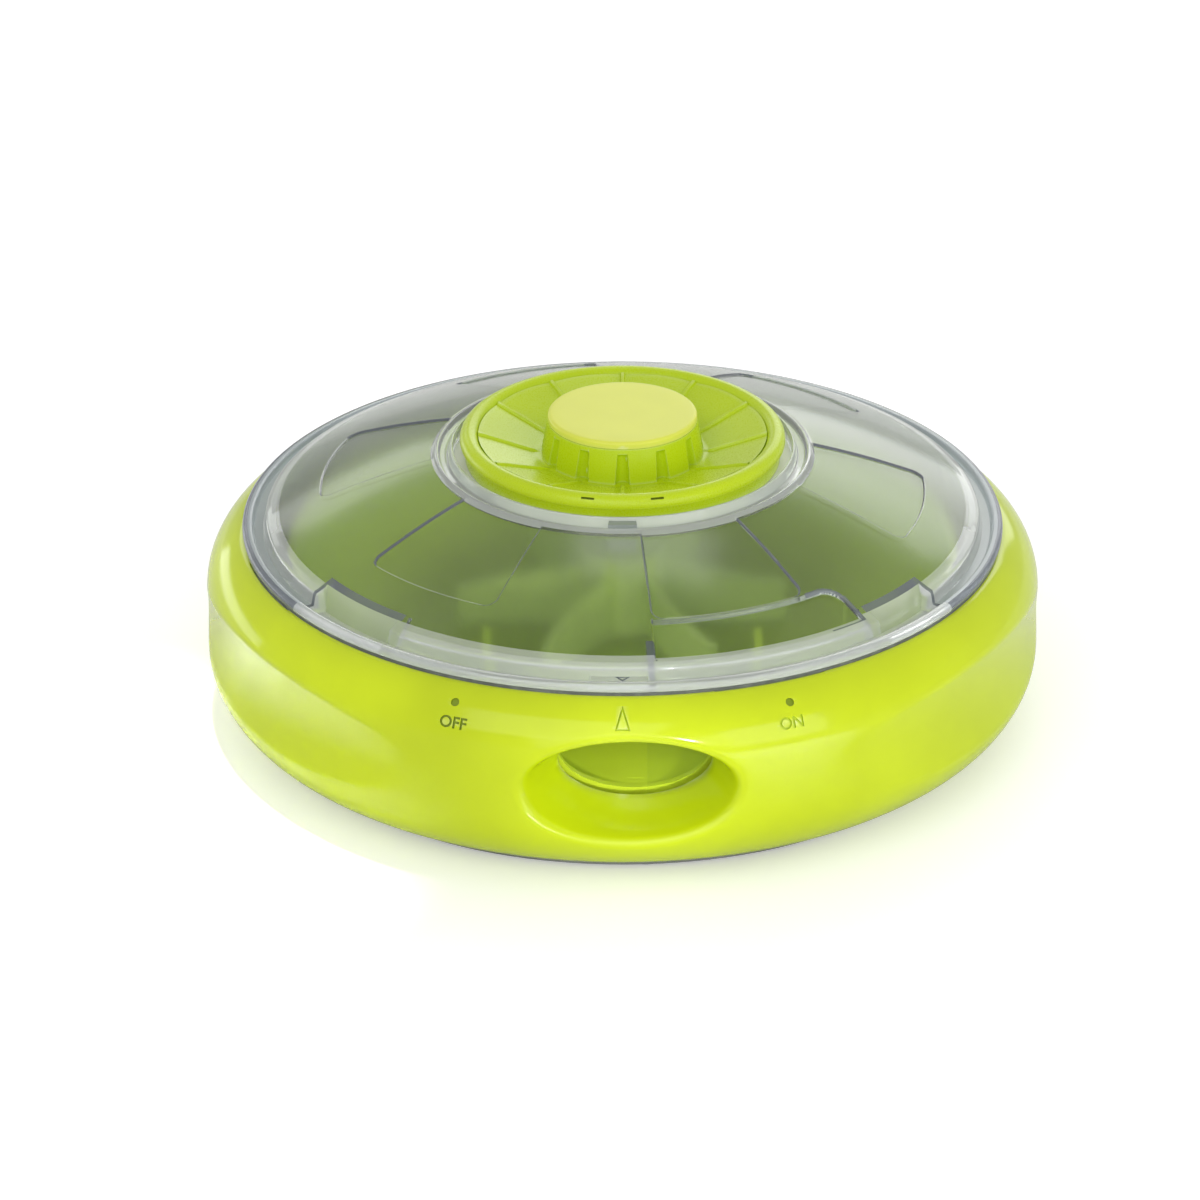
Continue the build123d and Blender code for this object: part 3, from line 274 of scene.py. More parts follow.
# Engraved marks on the shoulder and the lid
MARK_DEPTH = 0.45
WORD_AZ = 23.2
WORD_TURN = 27.0
WORD_CAP_H = 3.0
WORD_BOLD = 0.022
WORD_CURVE_STEPS = 4
WORD_WELD = 0.0005
DOT_AZ = 23.6
DOT_TURN = 44.8
DOT_R = 1.1
DOT_SIDES = 28
ARROW_LOW_TURN = 33.0
ARROW_HIGH_TURN = 56.0
ARROW_HALF_W = 1.9
ARROW_LINE = 0.45
LID_ARROW_R = 94.9
LID_ARROW_L = 2.4
LID_ARROW_HALF_W = 2.0


def clamp01(value):
    return max(0.0, min(1.0, value))


def soft_step(value, low, high):
    """Smooth rise from 0 at low to 1 at high."""
    share = clamp01((value - low) / (high - low))
    return share * share * (3.0 - 2.0 * share)


def soft_min(first, second, width):
    """Smaller of two values, blended where they are closer than width."""
    share = clamp01(0.5 + 0.5 * (second - first) / width)
    return second + (first - second) * share - width * share * (1.0 - share)


def mix(first, second, share):
    return first + (second - first) * share


def turn_difference(az, centre):
    """Signed angle from centre to azimuth, between -180 and 180 degrees."""
    return (az - centre + TURN / 2) % TURN - TURN / 2


def around(count, first=0.0):
    """Azimuths of evenly repeated forms."""
    return [first + TURN * index / count for index in range(count)]


def spread(low, high, count):
    """Evenly spaced values from low to high, ends included."""
    return [low + (high - low) * index / count for index in range(count + 1)]


def place(radius, az, height):
    """Point in metres from cylinder coordinates in millimetres and degrees."""
    angle = radians(az)
    return Vector((radius * sin(angle) * MM, -radius * cos(angle) * MM, height * MM))


def in_sectors(az, centres, half):
    """True within half of one of the centres."""
    return any(abs(turn_difference(az, centre)) < half for centre in centres)


def azimuth_stations(step, extras=()):
    """Azimuths all round, at most a step apart, with the extra ones among them."""
    wanted = spread(-TURN / 2, TURN / 2, round(TURN / step))[:-1] + list(extras)
    kept = []
    for value in sorted(turn_difference(az, 0.0) for az in wanted):
        if not kept or value - kept[-1] > STATION_GAP_AZ:
            kept.append(value)
    return kept


def edge_pairs(centres, half):
    """Azimuths just inside and outside both ends of repeated sectors."""
    offsets = (-half - EDGE_GAP_AZ, -half + EDGE_GAP_AZ, half - EDGE_GAP_AZ, half + EDGE_GAP_AZ)
    return [centre + offset for centre in centres for offset in offsets]


def rounded(points, radius):
    """Polyline with each inner corner replaced by a small arc-like curve."""
    result = [Vector(points[0])]
    for before, corner, after in zip(points, points[1:], points[2:]):
        before, corner, after = Vector(before), Vector(corner), Vector(after)
        reach = min(radius, (corner - before).length * ROUND_REACH, (after - corner).length * ROUND_REACH)
        start = corner + (before - corner).normalized() * reach
        end = corner + (after - corner).normalized() * reach
        for share in spread(0.0, 1.0, ROUND_SEGMENTS):
            result.append(start.lerp(corner, share).lerp(corner.lerp(end, share), share))
    result.append(Vector(points[-1]))
    return [(point[0], point[1]) for point in result]


def add_to_scene(name, data):
    made = bpy.data.objects.new(name, data)
    bpy.context.scene.collection.objects.link(made)
    return made


def weld(mesh, distance):
    """Joins points that lie closer than distance and turns the faces outwards."""
    clean = bmesh.new()
    clean.from_mesh(mesh)
    bmesh.ops.remove_doubles(clean, verts=clean.verts, dist=distance)
    bmesh.ops.recalc_face_normals(clean, faces=clean.faces)
    clean.to_mesh(mesh)
    clean.free()


def smooth_faces(mesh):
    mesh.polygons.foreach_set("use_smooth", [True] * len(mesh.polygons))
    mesh.set_sharp_from_angle(angle=SHARP_ANGLE)


def make_object(name, points, faces, materials, face_slots=None):
    """Mesh object from points in metres, smooth apart from its sharp edges."""
    mesh = bpy.data.meshes.new(name)
    mesh.from_pydata([tuple(point) for point in points], [], faces)
    for material in materials:
        mesh.materials.append(material)
    if face_slots:
        mesh.polygons.foreach_set("material_index", face_slots)
    mesh.validate()
    weld(mesh, WELD_DISTANCE)
    smooth_faces(mesh)
    return add_to_scene(name, mesh)


def grid_faces(columns, rows, wrap_columns, wrap_rows, skip=None):
    """Quads of a grid of points stored column by column."""
    faces = []
    for column in range(columns if wrap_columns else columns - 1):
        left = column * rows
        right = (column + 1) % columns * rows
        for row in range(rows if wrap_rows else rows - 1):
            above = (row + 1) % rows
            if not (skip and skip(column, row)):
                faces.append((left + row, right + row, right + above, left + above))
    return faces


def lathe(name, azimuths, profile, materials, form=None, slot_of=None, closed=True):
    """Turned piece. form moves a profile point at an azimuth, slot_of picks a material for a face."""
    points = []
    for az in azimuths:
        for row, (radius, height) in enumerate(profile):
            if form:
                radius, height = form(az, row, radius, height)
            points.append(place(radius, az, height))
    slots = None
    if slot_of:
        pairs = zip(azimuths, azimuths[1:] + azimuths[:1])
        middles = [az + turn_difference(after, az) / 2 for az, after in pairs]
        slots = [slot_of(middle, row) for middle in middles for row in range(len(profile))]
    faces = grid_faces(len(azimuths), len(profile), True, closed)
    return make_object(name, points, faces, materials, slots)


def sector_block(name, radii, heights, start_z, corner, azimuths, material):
    """Curved block between two radii and two heights, rounded along its long edges."""
    (in_r, out_r), (low_z, top_z) = radii, heights
    corners = [(in_r, low_z), (out_r, low_z), (out_r, top_z), (in_r, top_z)]
    section = rounded([(in_r, start_z), *corners, (in_r, start_z)], corner)[:-1]
    points = [place(radius, az, height) for az in azimuths for radius, height in section]
    rows = len(section)
    faces = grid_faces(len(azimuths), rows, False, True)
    faces.append(tuple(range(rows)))
    faces.append(tuple(range(len(points) - rows, len(points))))
    return make_object(name, points, faces, [material])


def evaluated_mesh(source):
    """New mesh of an object as its modifiers or its letters make it."""
    bpy.context.view_layer.update()
    return bpy.data.meshes.new_from_object(source.evaluated_get(bpy.context.evaluated_depsgraph_get()))


def loop_quads(count):
    """Quads between two loops of as many points each, stored one after the other."""
    return [(i, (i + 1) % count, count + (i + 1) % count, count + i) for i in range(count)]


def prism(name, points, material):
    """Closed solid between two loops of points."""
    count = len(points) // 2
    ends = [tuple(range(count)), tuple(range(count, 2 * count))]
    return make_object(name, points, ends + loop_quads(count), [material])


def cut(target, cutters):
    """Takes closed cutter solids away from a closed piece."""
    for cutter in cutters:
        modifier = target.modifiers.new("cut", "BOOLEAN")
        modifier.operation = "DIFFERENCE"
        modifier.solver = "EXACT"
        modifier.material_mode = "TRANSFER"
        modifier.object = cutter
    mesh = evaluated_mesh(target)
    target.modifiers.clear()
    target.data = mesh
    smooth_faces(mesh)
    for cutter in cutters:
        bpy.data.objects.remove(cutter)


# Materials


class Shader:
    """Node tree of one procedural material, with a Principled shader at its end."""

    def __init__(self, name):
        self.material = bpy.data.materials.new(name)
        self.material.use_nodes = True
        self.nodes = self.material.node_tree.nodes
        self.links = self.material.node_tree.links
        self.nodes.clear()
        self.output = self.node("OutputMaterial")
        self.surface = self.node("BsdfPrincipled")
        self.feed(self.output, Surface=self.surface.outputs["BSDF"])
        self.coordinates = self.node("TexCoord").outputs["Object"]

    def feed(self, node, **inputs):
        """Links or sets a node's inputs, whose names are written with _ for a space."""
        for name, value in inputs.items():
            socket = node.inputs[name.replace("_", " ")]
            if isinstance(value, bpy.types.NodeSocket):
                self.links.new(value, socket)
            else:
                socket.default_value = value

    def node(self, kind, **inputs):
        """New node of a kind with its inputs fed."""
        made = self.nodes.new("ShaderNode" + kind)
        self.feed(made, **inputs)
        return made

    def set(self, **inputs):
        self.feed(self.surface, **inputs)

    def noise(self, grain_mm, detail):
        """Noise whose features are about grain_mm wide."""
        scale = 1.0 / (grain_mm * MM)
        made = self.node("TexNoise", Scale=scale, Detail=detail, Roughness=0.55, Vector=self.coordinates)
        return made.outputs["Fac"]

    def ramp(self, value, low, high, to_low=0.0, to_high=1.0):
        made = self.node("MapRange", From_Min=low, From_Max=high, To_Min=to_low, To_Max=to_high, Value=value)
        return made.outputs["Result"]

    def vary(self, noise, low, high):
        """Value that follows the middle range of a noise from low to high."""
        return self.ramp(noise, 0.3, 0.7, low, high)

    def combine(self, operation, first, second):
        """Result of a math operation on two sockets."""
        made = self.node("Math")
        made.operation = operation
        self.links.new(first, made.inputs[0])
        self.links.new(second, made.inputs[1])
        return made.outputs["Value"]

    def blend(self, factor, first, second):
        """Mix of two colours, each a socket or three numbers."""
        made = self.node("Mix")
        made.data_type = "RGBA"
        first, second = ((*c, 1.0) if isinstance(c, tuple) else c for c in (first, second))
        self.feed(made, A=first, B=second, Factor=factor)
        return made.outputs["Result"]

    def finish(self, colour, grain, rough_low, rough_high, bump, bump_mm=0.05):
        """Colour, and a roughness and a bump that follow the grain. Returns the material."""
        bumps = self.node("Bump", Strength=bump, Distance=bump_mm * MM, Height=grain)
        self.set(Base_Color=colour, Roughness=self.vary(grain, rough_low, rough_high))
        self.set(Normal=bumps.outputs["Normal"])
        return self.material


def scaled(colour, share):
    return tuple(channel * share for channel in colour)


def moulded_plastic(name, colour, gloss, grain_mm=0.5, bump=0.06):
    """Moulded plastic with faint flow marks, fine grain and slightly paler edges."""
    shader = Shader(name)
    flow = shader.vary(shader.noise(26.0, 2.0), 0.0, 1.0)
    base = shader.blend(flow, scaled(colour, 0.95), scaled(colour, 1.03))
    pale = tuple(mix(channel, 0.9, 0.25) for channel in colour)
    edges = shader.ramp(shader.node("NewGeometry").outputs["Pointiness"], 0.52, 0.62)
    shader.set(IOR=1.5, Specular_IOR_Level=0.4)
    colours = shader.blend(edges, base, pale)
    return shader.finish(colours, shader.noise(grain_mm, 4.0), gloss * 0.85, gloss * 1.2, bump)


# Painted shade on the hopper's pan: the share of its colour that is left, and the heights and depths over
# which it fades in
PAN_SHADE = 0.6
PAN_HIGH_Z = 34.0
PAN_LOW_Z = 26.0
PAN_FRONT_Y = -75.0
PAN_BACK_Y = -55.0


def bowl_plastic(name, colour):
    """Moulded plastic of the hopper, with painted shade on the low pan behind the front channel."""
    shader = Shader(name)
    axes = shader.node("SeparateXYZ", Vector=shader.coordinates).outputs
    low = shader.ramp(axes["Z"], PAN_HIGH_Z * MM, PAN_LOW_Z * MM)
    inner = shader.ramp(axes["Y"], PAN_FRONT_Y * MM, PAN_BACK_Y * MM)
    # Painted shade where the pan is low and back from the front channel
    painted_shade = shader.combine("MULTIPLY", low, inner)
    colours = shader.blend(painted_shade, colour, scaled(colour, PAN_SHADE))
    return shader.finish(colours, shader.noise(0.6, 4.0), 0.34, 0.48, 0.1)


def clear_plastic(name, tint, shadow_tint, rough_low, rough_high, grain_mm, bump, clear=1.0, ior=1.45):
    """Tinted clear plastic, milky where clear is below 1. Lamps shine through in the shadow tint."""
    shader = Shader(name)
    shader.set(IOR=ior, Transmission_Weight=clear)
    colours = shader.blend(shader.noise(18.0, 2.0), scaled(tint, 0.94), scaled(tint, 1.05))
    through = shader.node("BsdfTransparent", Color=(*shadow_tint, 1.0))
    either = shader.node("MixShader", Fac=shader.node("LightPath").outputs["Is Shadow Ray"])
    shader.links.new(shader.surface.outputs["BSDF"], either.inputs[1])
    shader.links.new(through.outputs["BSDF"], either.inputs[2])
    shader.feed(shader.output, Surface=either.outputs["Shader"])
    return shader.finish(colours, shader.noise(grain_mm, 3.0), rough_low, rough_high, bump)


def soft_rubber(name, colour):
    """Matte rubber with fine pits and a little dust."""
    shader = Shader(name)
    dust = shader.ramp(shader.noise(4.0, 4.0), 0.45, 0.75)
    colours = shader.blend(dust, colour, scaled(colour, 1.6))
    return shader.finish(colours, shader.noise(0.4, 4.0), 0.7, 0.9, 0.2, 0.08)


def plated_steel(name, colour, rough):
    """Plated steel with fine turning marks."""
    shader = Shader(name)
    marks = shader.noise(0.35, 5.0)
    shader.set(Metallic=1.0)
    colours = shader.blend(marks, scaled(colour, 0.85), colour)
    return shader.finish(colours, marks, rough * 0.8, rough * 1.3, 0.08, 0.03)


LIME = (0.525, 0.64, 0.006)
LIME_DIAL = (0.5, 0.65, 0.005)
# Paler lime of the knob's top: painted light from above
LIME_CAP_LIT = (0.72, 0.76, 0.085)
# Paler than the shell's lime: painted light for the bowl and rotor, which sit in shade under the lid
LIME_BOWL_PAINTED_LIGHT = (0.66, 0.82, 0.03)
LIME_MARK = (0.22, 0.3, 0.008)
LIME_LINE = (0.48, 0.61, 0.01)
SMOKE = (0.6, 0.66, 0.58)
PALE_SMOKE = (0.84, 0.87, 0.85)
WINDOW_SMOKE = (0.66, 0.72, 0.64)
# Milky grey smoke painted as shade on the rim at the sides
SIDE_SHADE_SMOKE = (0.58, 0.64, 0.65)
INDEX_SMOKE = (0.36, 0.4, 0.38)
# Dark smoke painted as shade along the lid's steps, pocket walls and thick edges
SHADE_SMOKE = (0.2, 0.22, 0.25)
GATE_TINT = (0.93, 0.95, 0.92)
GREY = (0.07, 0.08, 0.08)

# Plastics: name, colour, gloss roughness, grain in millimetres, bump
lime_shell = moulded_plastic("lime_shell", LIME, 0.12)
lime_dial = moulded_plastic("lime_dial", LIME_DIAL, 0.28, 0.35, 0.12)
lime_cap = moulded_plastic("lime_cap", LIME_CAP_LIT, 0.38, 0.35, 0.15)
# Bowl and rotor in the paler lime of painted light
lime_bowl = bowl_plastic("lime_bowl", LIME_BOWL_PAINTED_LIGHT)
lime_rotor = moulded_plastic("lime_rotor", LIME_BOWL_PAINTED_LIGHT, 0.4, 0.6, 0.1)
lime_mark = moulded_plastic("lime_mark", LIME_MARK, 0.5, 0.4, 0.1)
lime_line = moulded_plastic("lime_line", LIME_LINE, 0.4, 0.4, 0.1)
grey_cover = moulded_plastic("grey_cover", GREY, 0.5, 0.6, 0.2)
pale_nylon = moulded_plastic("pale_nylon", (0.72, 0.73, 0.7), 0.4, 0.5, 0.08)

# Clear plastics: name, tint, shadow tint, roughness from and to, grain in millimetres, bump, clear
# share, IOR
lid_frosted = clear_plastic("lid_frosted", SMOKE, (0.9, 0.92, 0.89), 0.13, 0.16, 0.4, 0.01)
lid_clear = clear_plastic("lid_clear", PALE_SMOKE, (0.93, 0.94, 0.92), 0.04, 0.07, 3.0, 0.003, 0.7)
lid_edge_shade = clear_plastic("lid_edge_shade", SHADE_SMOKE, (0.8, 0.8, 0.8), 0.1, 0.2, 1.0, 0.03, 0.5)
lid_side_shade = clear_plastic("lid_side_shade", SIDE_SHADE_SMOKE, (0.86, 0.87, 0.87), 0.12, 0.18, 3.0, 0.003, 0.55)
lid_index = clear_plastic("lid_index", INDEX_SMOKE, (0.83, 0.84, 0.83), 0.12, 0.18, 1.0, 0.02, 0.5)
lid_window = clear_plastic("lid_window", WINDOW_SMOKE, (0.94, 0.95, 0.93), 0.1, 0.14, 3.0, 0.003)
gate_clear = clear_plastic("gate_clear", GATE_TINT, (0.96, 0.97, 0.95), 0.02, 0.05, 2.0, 0.01, 1.0, 1.08)

foot_rubber = soft_rubber("foot_rubber", (0.045, 0.048, 0.046))
seal_rubber = soft_rubber("seal_rubber", (0.1, 0.11, 0.1))
screw_steel = plated_steel("screw_steel", (0.62, 0.62, 0.63), 0.3)
pin_steel = plated_steel("pin_steel", (0.68, 0.68, 0.69), 0.22)


# Body shell

LUG_AZS = around(LUG_COUNT, NOTCH_FIRST_AZ)
STOP_AZS = around(LUG_COUNT, NOTCH_FIRST_AZ + TURN / LUG_COUNT / 2)


def body_radius(height, inset):
    """Radius of the round body at a height, drawn in by inset."""
    if height < SIDE_LOW_Z:
        share = (SIDE_LOW_Z - height) / (LOWER_CURVE_H - inset)
        return BODY_R - LOWER_CURVE_R + (LOWER_CURVE_R - inset) * sqrt(max(0.0, 1.0 - share * share))
    if height > SIDE_HIGH_Z:
        share = (height - SIDE_HIGH_Z) / (SHOULDER_R - inset)
        return BODY_R - SHOULDER_R + (SHOULDER_R - inset) * sqrt(max(0.0, 1.0 - share * share))
    return BODY_R - inset


def shell_radius(az, height, inset=0.0):
    """Radius of the body's side at an azimuth and a height, scallops included."""
    radius = body_radius(height, inset)
    hollow = SCALLOP_HOLLOW_R + inset
    rise = height - SCALLOP_Z
    if abs(rise) >= hollow:
        return radius
    reach = SCALLOP_RUN_R + SCALLOP_HOLLOW_R - sqrt(hollow * hollow - rise * rise)
    for centre in around(SCALLOP_COUNT)[1:]:
        off = radians(turn_difference(az, centre))
        if abs(off) <= pi / 4:
            side = SCALLOP_AXIS_BACK * sin(off)
            hollow_radius = sqrt(reach * reach - side * side) - SCALLOP_AXIS_BACK * cos(off)
            radius = soft_min(radius, hollow_radius, SCALLOP_SOFT)
    return radius


def on_shell(az, height, inset):
    return place(shell_radius(az, height, inset), az, height)


def outer_heights():
    """Heights of the rows up the outside of the shell."""
    low_turn = asin((SIDE_LOW_Z - SHELL_BOTTOM_Z) / LOWER_CURVE_H)
    high_turn = asin((LIP_TOP_Z - SIDE_HIGH_Z) / SHOULDER_R)
    lower = [SIDE_LOW_Z - LOWER_CURVE_H * sin(turn) for turn in spread(low_turn, 0.0, LOWER_ROWS)]
    side = spread(SIDE_LOW_Z, SIDE_HIGH_Z, SIDE_ROWS)[1:]
    upper = [SIDE_HIGH_Z + SHOULDER_R * sin(turn) for turn in spread(0.0, high_turn, SHOULDER_ROWS)]
    return lower + side + upper[1:]


def nearest(values, wanted):
    return min(range(len(values)), key=lambda index: abs(values[index] - wanted))


def scoop_point(depth, turn, growth=0.0):
    """Point on the outlet scoop, depth 0 at the body's front and 1 at the throat."""
    half_w = mix(MOUTH_HALF_W, THROAT_HALF_W, depth) + growth
    half_h = mix(MOUTH_HALF_H, THROAT_HALF_H, depth) + growth
    x = mix(MOUTH_SIDE, THROAT_SIDE, depth) + half_w * cos(turn)
    y = -mix(BODY_R, THROAT_END_R, depth)
    z = mix(MOUTH_Z, THROAT_Z, depth) + half_h * sin(turn)
    return Vector((x, y, z))


def throat_ring(turns, growth):
    """Points on the end of the scoop, on the round face in front of the shutter."""
    ring = []
    for turn in turns:
        x = THROAT_SIDE + (THROAT_HALF_W + growth) * cos(turn)
        z = THROAT_Z + (THROAT_HALF_H + growth) * sin(turn)
        ring.append(Vector((x, -sqrt(THROAT_END_R ** 2 - x * x), z)) * MM)
    return ring


def azimuth_of(point):
    return degrees(atan2(point.x, -point.y))


def scoop_meets(turn, inset, growth):
    """Depth at which the scoop crosses the shell's outer or inner face."""
    low, high = SCOOP_BEFORE_FRONT, 1.0
    for _ in range(HALVINGS):
        depth = (low + high) / 2
        point = scoop_point(depth, turn, growth)
        if hypot(point.x, point.y) > shell_radius(azimuth_of(point), point.z, inset):
            low = depth
        else:
            high = depth
    return (low + high) / 2


def patch_rings(boundary, inset, growth, ring_count):
    """Rings on the shell's face from a block's outline in to the edge of the scoop."""
    turns = []
    edge = []
    for az, height in boundary:
        across = (BODY_R * sin(radians(az)) - MOUTH_SIDE) / MOUTH_HALF_W
        turn = atan2((height - MOUTH_Z) / MOUTH_HALF_H, across)
        point = scoop_point(scoop_meets(turn, inset, growth), turn, growth)
        turns.append(turn)
        edge.append((azimuth_of(point), point.z))
    rings = []
    for share in spread(0.0, 1.0, ring_count)[1:]:
        ring = []
        for outer, inner in zip(boundary, edge):
            ring.append(on_shell(mix(outer[0], inner[0], share), mix(outer[1], inner[1], share), inset))
        rings.append(ring)
    return turns, rings


def lip_rings(turns, start_ring):
    """Rings that roll over the lip of the scoop and run down it to the throat."""
    rims = []
    ends = []
    depths = []
    for turn in turns:
        rim_depth = scoop_meets(turn, 0.0, 0.0)
        depths.append(rim_depth + MOUTH_LIP / (BODY_R - THROAT_END_R))
        rims.append(scoop_point(rim_depth, turn) * MM)
        ends.append(scoop_point(depths[-1], turn) * MM)
    rings = []
    for share in spread(0.0, 1.0, LIP_RINGS)[1:]:
        corners = zip(start_ring, rims, ends)
        rings.append([a.lerp(rim, share).lerp(rim.lerp(b, share), share) for a, rim, b in corners])
    for share in spread(0.0, 1.0, SCOOP_RINGS)[1:]:
        rings.append([scoop_point(mix(depth, 1.0, share), turn) * MM for depth, turn in zip(depths, turns)])
    return rings


def shell_section(az, outside, inside):
    """Closed section of the shell at an azimuth: up the outside, over the lip and down the inside."""
    bore = NOTCH_R if in_sectors(az, LUG_AZS, NOTCH_HALF_AZ) else LIP_BORE_R
    bottom = STOP_BOTTOM_Z if in_sectors(az, STOP_AZS, STOP_HALF_AZ) else LIP_BOTTOM_Z
    section = [(shell_radius(az, z), z) for z in outside]
    section += [(bore + LIP_EDGE, LIP_TOP_Z), (bore, LIP_TOP_Z - LIP_EDGE), (bore, bottom)]
    section += [(shell_radius(az, min(z, bottom), SHELL_WALL), min(z, bottom)) for z in inside]
    return section + [(FLANGE_BORE_R, FLANGE_TOP_Z), (FLANGE_BORE_R, SHELL_BOTTOM_Z)]


def build_shell():
    """Body shell as one closed mesh: side with scallops, rolled outlet scoop, lip and inner wall."""
    ends = edge_pairs(LUG_AZS, NOTCH_HALF_AZ) + edge_pairs(STOP_AZS, STOP_HALF_AZ)
    azimuths = azimuth_stations(SHELL_STEP_AZ, ends)
    outside = outer_heights()
    inside = spread(LIP_BOTTOM_Z, FLANGE_TOP_Z, INSIDE_ROWS)
    sections = [shell_section(az, outside, inside) for az in azimuths]
    row_count = len(sections[0])
    inner_start = row_count - 2 - len(inside)
    points = []
    for az, section in zip(azimuths, sections):
        points += [place(radius, az, height) for radius, height in section]
    first = nearest(azimuths, -MOUTH_BLOCK_AZ)
    last = nearest(azimuths, MOUTH_BLOCK_AZ)
    out_low = nearest(outside, MOUTH_BLOCK_LOW_Z)
    out_high = nearest(outside, MOUTH_BLOCK_HIGH_Z)
    in_high = inner_start + nearest(inside, MOUTH_BLOCK_HIGH_Z)
    in_low = inner_start + nearest(inside, MOUTH_BLOCK_LOW_Z + SHELL_WALL)

    def in_block(column, row):
        return first <= column < last and (out_low <= row < out_high or in_high <= row < in_low)

    faces = grid_faces(len(azimuths), row_count, True, True, in_block)

    def outline(low, high):
        """Grid places round a block, in order, starting at its low left corner."""
        step = 1 if high > low else -1
        places = [(column, low) for column in range(first, last)]
        places += [(last, row) for row in range(low, high, step)]
        places += [(column, high) for column in range(last, first, -1)]
        places += [(first, row) for row in range(high, low, -step)]
        return places

    def add_rings(places, rings):
        """Bands of quads from a block's outline through rings of points. Returns the last ring."""
        previous = [column * row_count + row for column, row in places]
        for ring in rings:
            current = list(range(len(points), len(points) + len(ring)))
            points.extend(ring)
            for index in range(len(ring)):
                after = (index + 1) % len(ring)
                faces.append((previous[index], previous[after], current[after], current[index]))
            previous = current
        return previous

    places = outline(out_low, out_high)
    boundary = [(azimuths[column], outside[row]) for column, row in places]
    outer_turns, rings = patch_rings(boundary, 0.0, MOUTH_LIP, OUTSIDE_RINGS)
    rings += lip_rings(outer_turns, rings[-1])
    outer_end = add_rings(places, rings + [throat_ring(outer_turns, 0.0)])

    places = outline(in_low, in_high)
    boundary = [(azimuths[column], inside[row - inner_start]) for column, row in places]
    inner_turns, rings = patch_rings(boundary, SHELL_WALL, MOUTH_WALL, INSIDE_RINGS)
    inner_end = add_rings(places, rings + [throat_ring(inner_turns, MOUTH_WALL)])

    faces += joined_loops(outer_end, outer_turns, inner_end, inner_turns)
    return make_object("shell_body", points, faces, [lime_shell])


def joined_loops(first_ids, first_turns, second_ids, second_turns):
    """Triangles between two loops of points that go the same way round by their turns."""
    first = [index for _, index in sorted(zip(first_turns, first_ids))]
    second = [index for _, index in sorted(zip(second_turns, second_ids))]
    first_turns = sorted(first_turns)
    second_turns = sorted(second_turns)
    first_turns.append(first_turns[0] + tau)
    second_turns.append(second_turns[0] + tau)
    faces = []
    a = b = 0
    while a < len(first) or b < len(second):
        here, there = first[a % len(first)], second[b % len(second)]
        if b >= len(second) or (a < len(first) and first_turns[a + 1] <= second_turns[b + 1]):
            a += 1
            faces.append((here, first[a % len(first)], there))
        else:
            b += 1
            faces.append((here, second[b % len(second)], there))
    return faces


# Marks


def shoulder_point(az, turn, height):
    """Point above the shoulder's curve, turn 0 at the side and rising towards the lid."""
    rise = radians(turn)
    reach = SHOULDER_R + height
    return place(BODY_R - SHOULDER_R + reach * cos(rise), az, SIDE_HIGH_Z + reach * sin(rise))


def shoulder_cutter(name, flat_points, faces, az, turn, material):
    """Closed cutter from a flat shape in millimetres, wrapped onto the shoulder and sunk into it."""
    radius = BODY_R - SHOULDER_R + SHOULDER_R * cos(radians(turn))

    def wrap(across, up, height):
        aside = az + degrees(across / radius)
        return shoulder_point(aside, turn + degrees(up / SHOULDER_R), height)

    return sunk_shape(name, flat_points, faces, wrap, material)


def sunk_shape(name, flat_points, faces, wrap, material):
    """Closed solid from just above a surface to the depth of the marks, in the form of a flat shape."""
    count = len(flat_points)
    points = [wrap(x, y, height) for height in (MARK_DEPTH, -MARK_DEPTH) for x, y in flat_points]
    sides = [edge for face in faces for edge in zip(face, face[1:] + face[:1])]
    rim = [edge for edge in sides if (edge[1], edge[0]) not in sides]
    solid = [tuple(face) for face in faces]
    solid += [tuple(count + index for index in reversed(face)) for face in faces]
    solid += [(end, start, count + start, count + end) for start, end in rim]
    return make_object(name, points, solid, [material])


def word_shape(word):
    """Flat letters as points and faces, centred, with the cap height of the marks."""
    curve = bpy.data.curves.new("word", "FONT")
    curve.body = word
    curve.align_x = "CENTER"
    curve.resolution_u = WORD_CURVE_STEPS
    curve.offset = WORD_BOLD
    letters = add_to_scene("word", curve)
    mesh = evaluated_mesh(letters)
    weld(mesh, WORD_WELD)
    top = max(vertex.co.y for vertex in mesh.vertices)
    size = WORD_CAP_H / top
    points = [(vertex.co.x * size, (vertex.co.y - top / 2) * size) for vertex in mesh.vertices]
    faces = [list(polygon.vertices) for polygon in mesh.polygons]
    bpy.data.objects.remove(letters)
    return points, faces


def outline_shape(corners, line):
    """Frame of a flat polygon with an even line width."""
    inner = []
    count = len(corners)
    for index, corner in enumerate(corners):
        here = Vector(corner)
        before = (Vector(corners[index - 1]) - here).normalized()
        after = (Vector(corners[(index + 1) % count]) - here).normalized()
        half = before.angle(after) / 2
        inner.append(here + (before + after).normalized() * (line / sin(half)))
    points = list(corners) + [(point.x, point.y) for point in inner]
    return points, loop_quads(count)


def disc_shape(radius):
    """Flat round dot."""
    turns = [tau * index / DOT_SIDES for index in range(DOT_SIDES)]
    return [(radius * cos(turn), radius * sin(turn)) for turn in turns], [list(range(DOT_SIDES))]


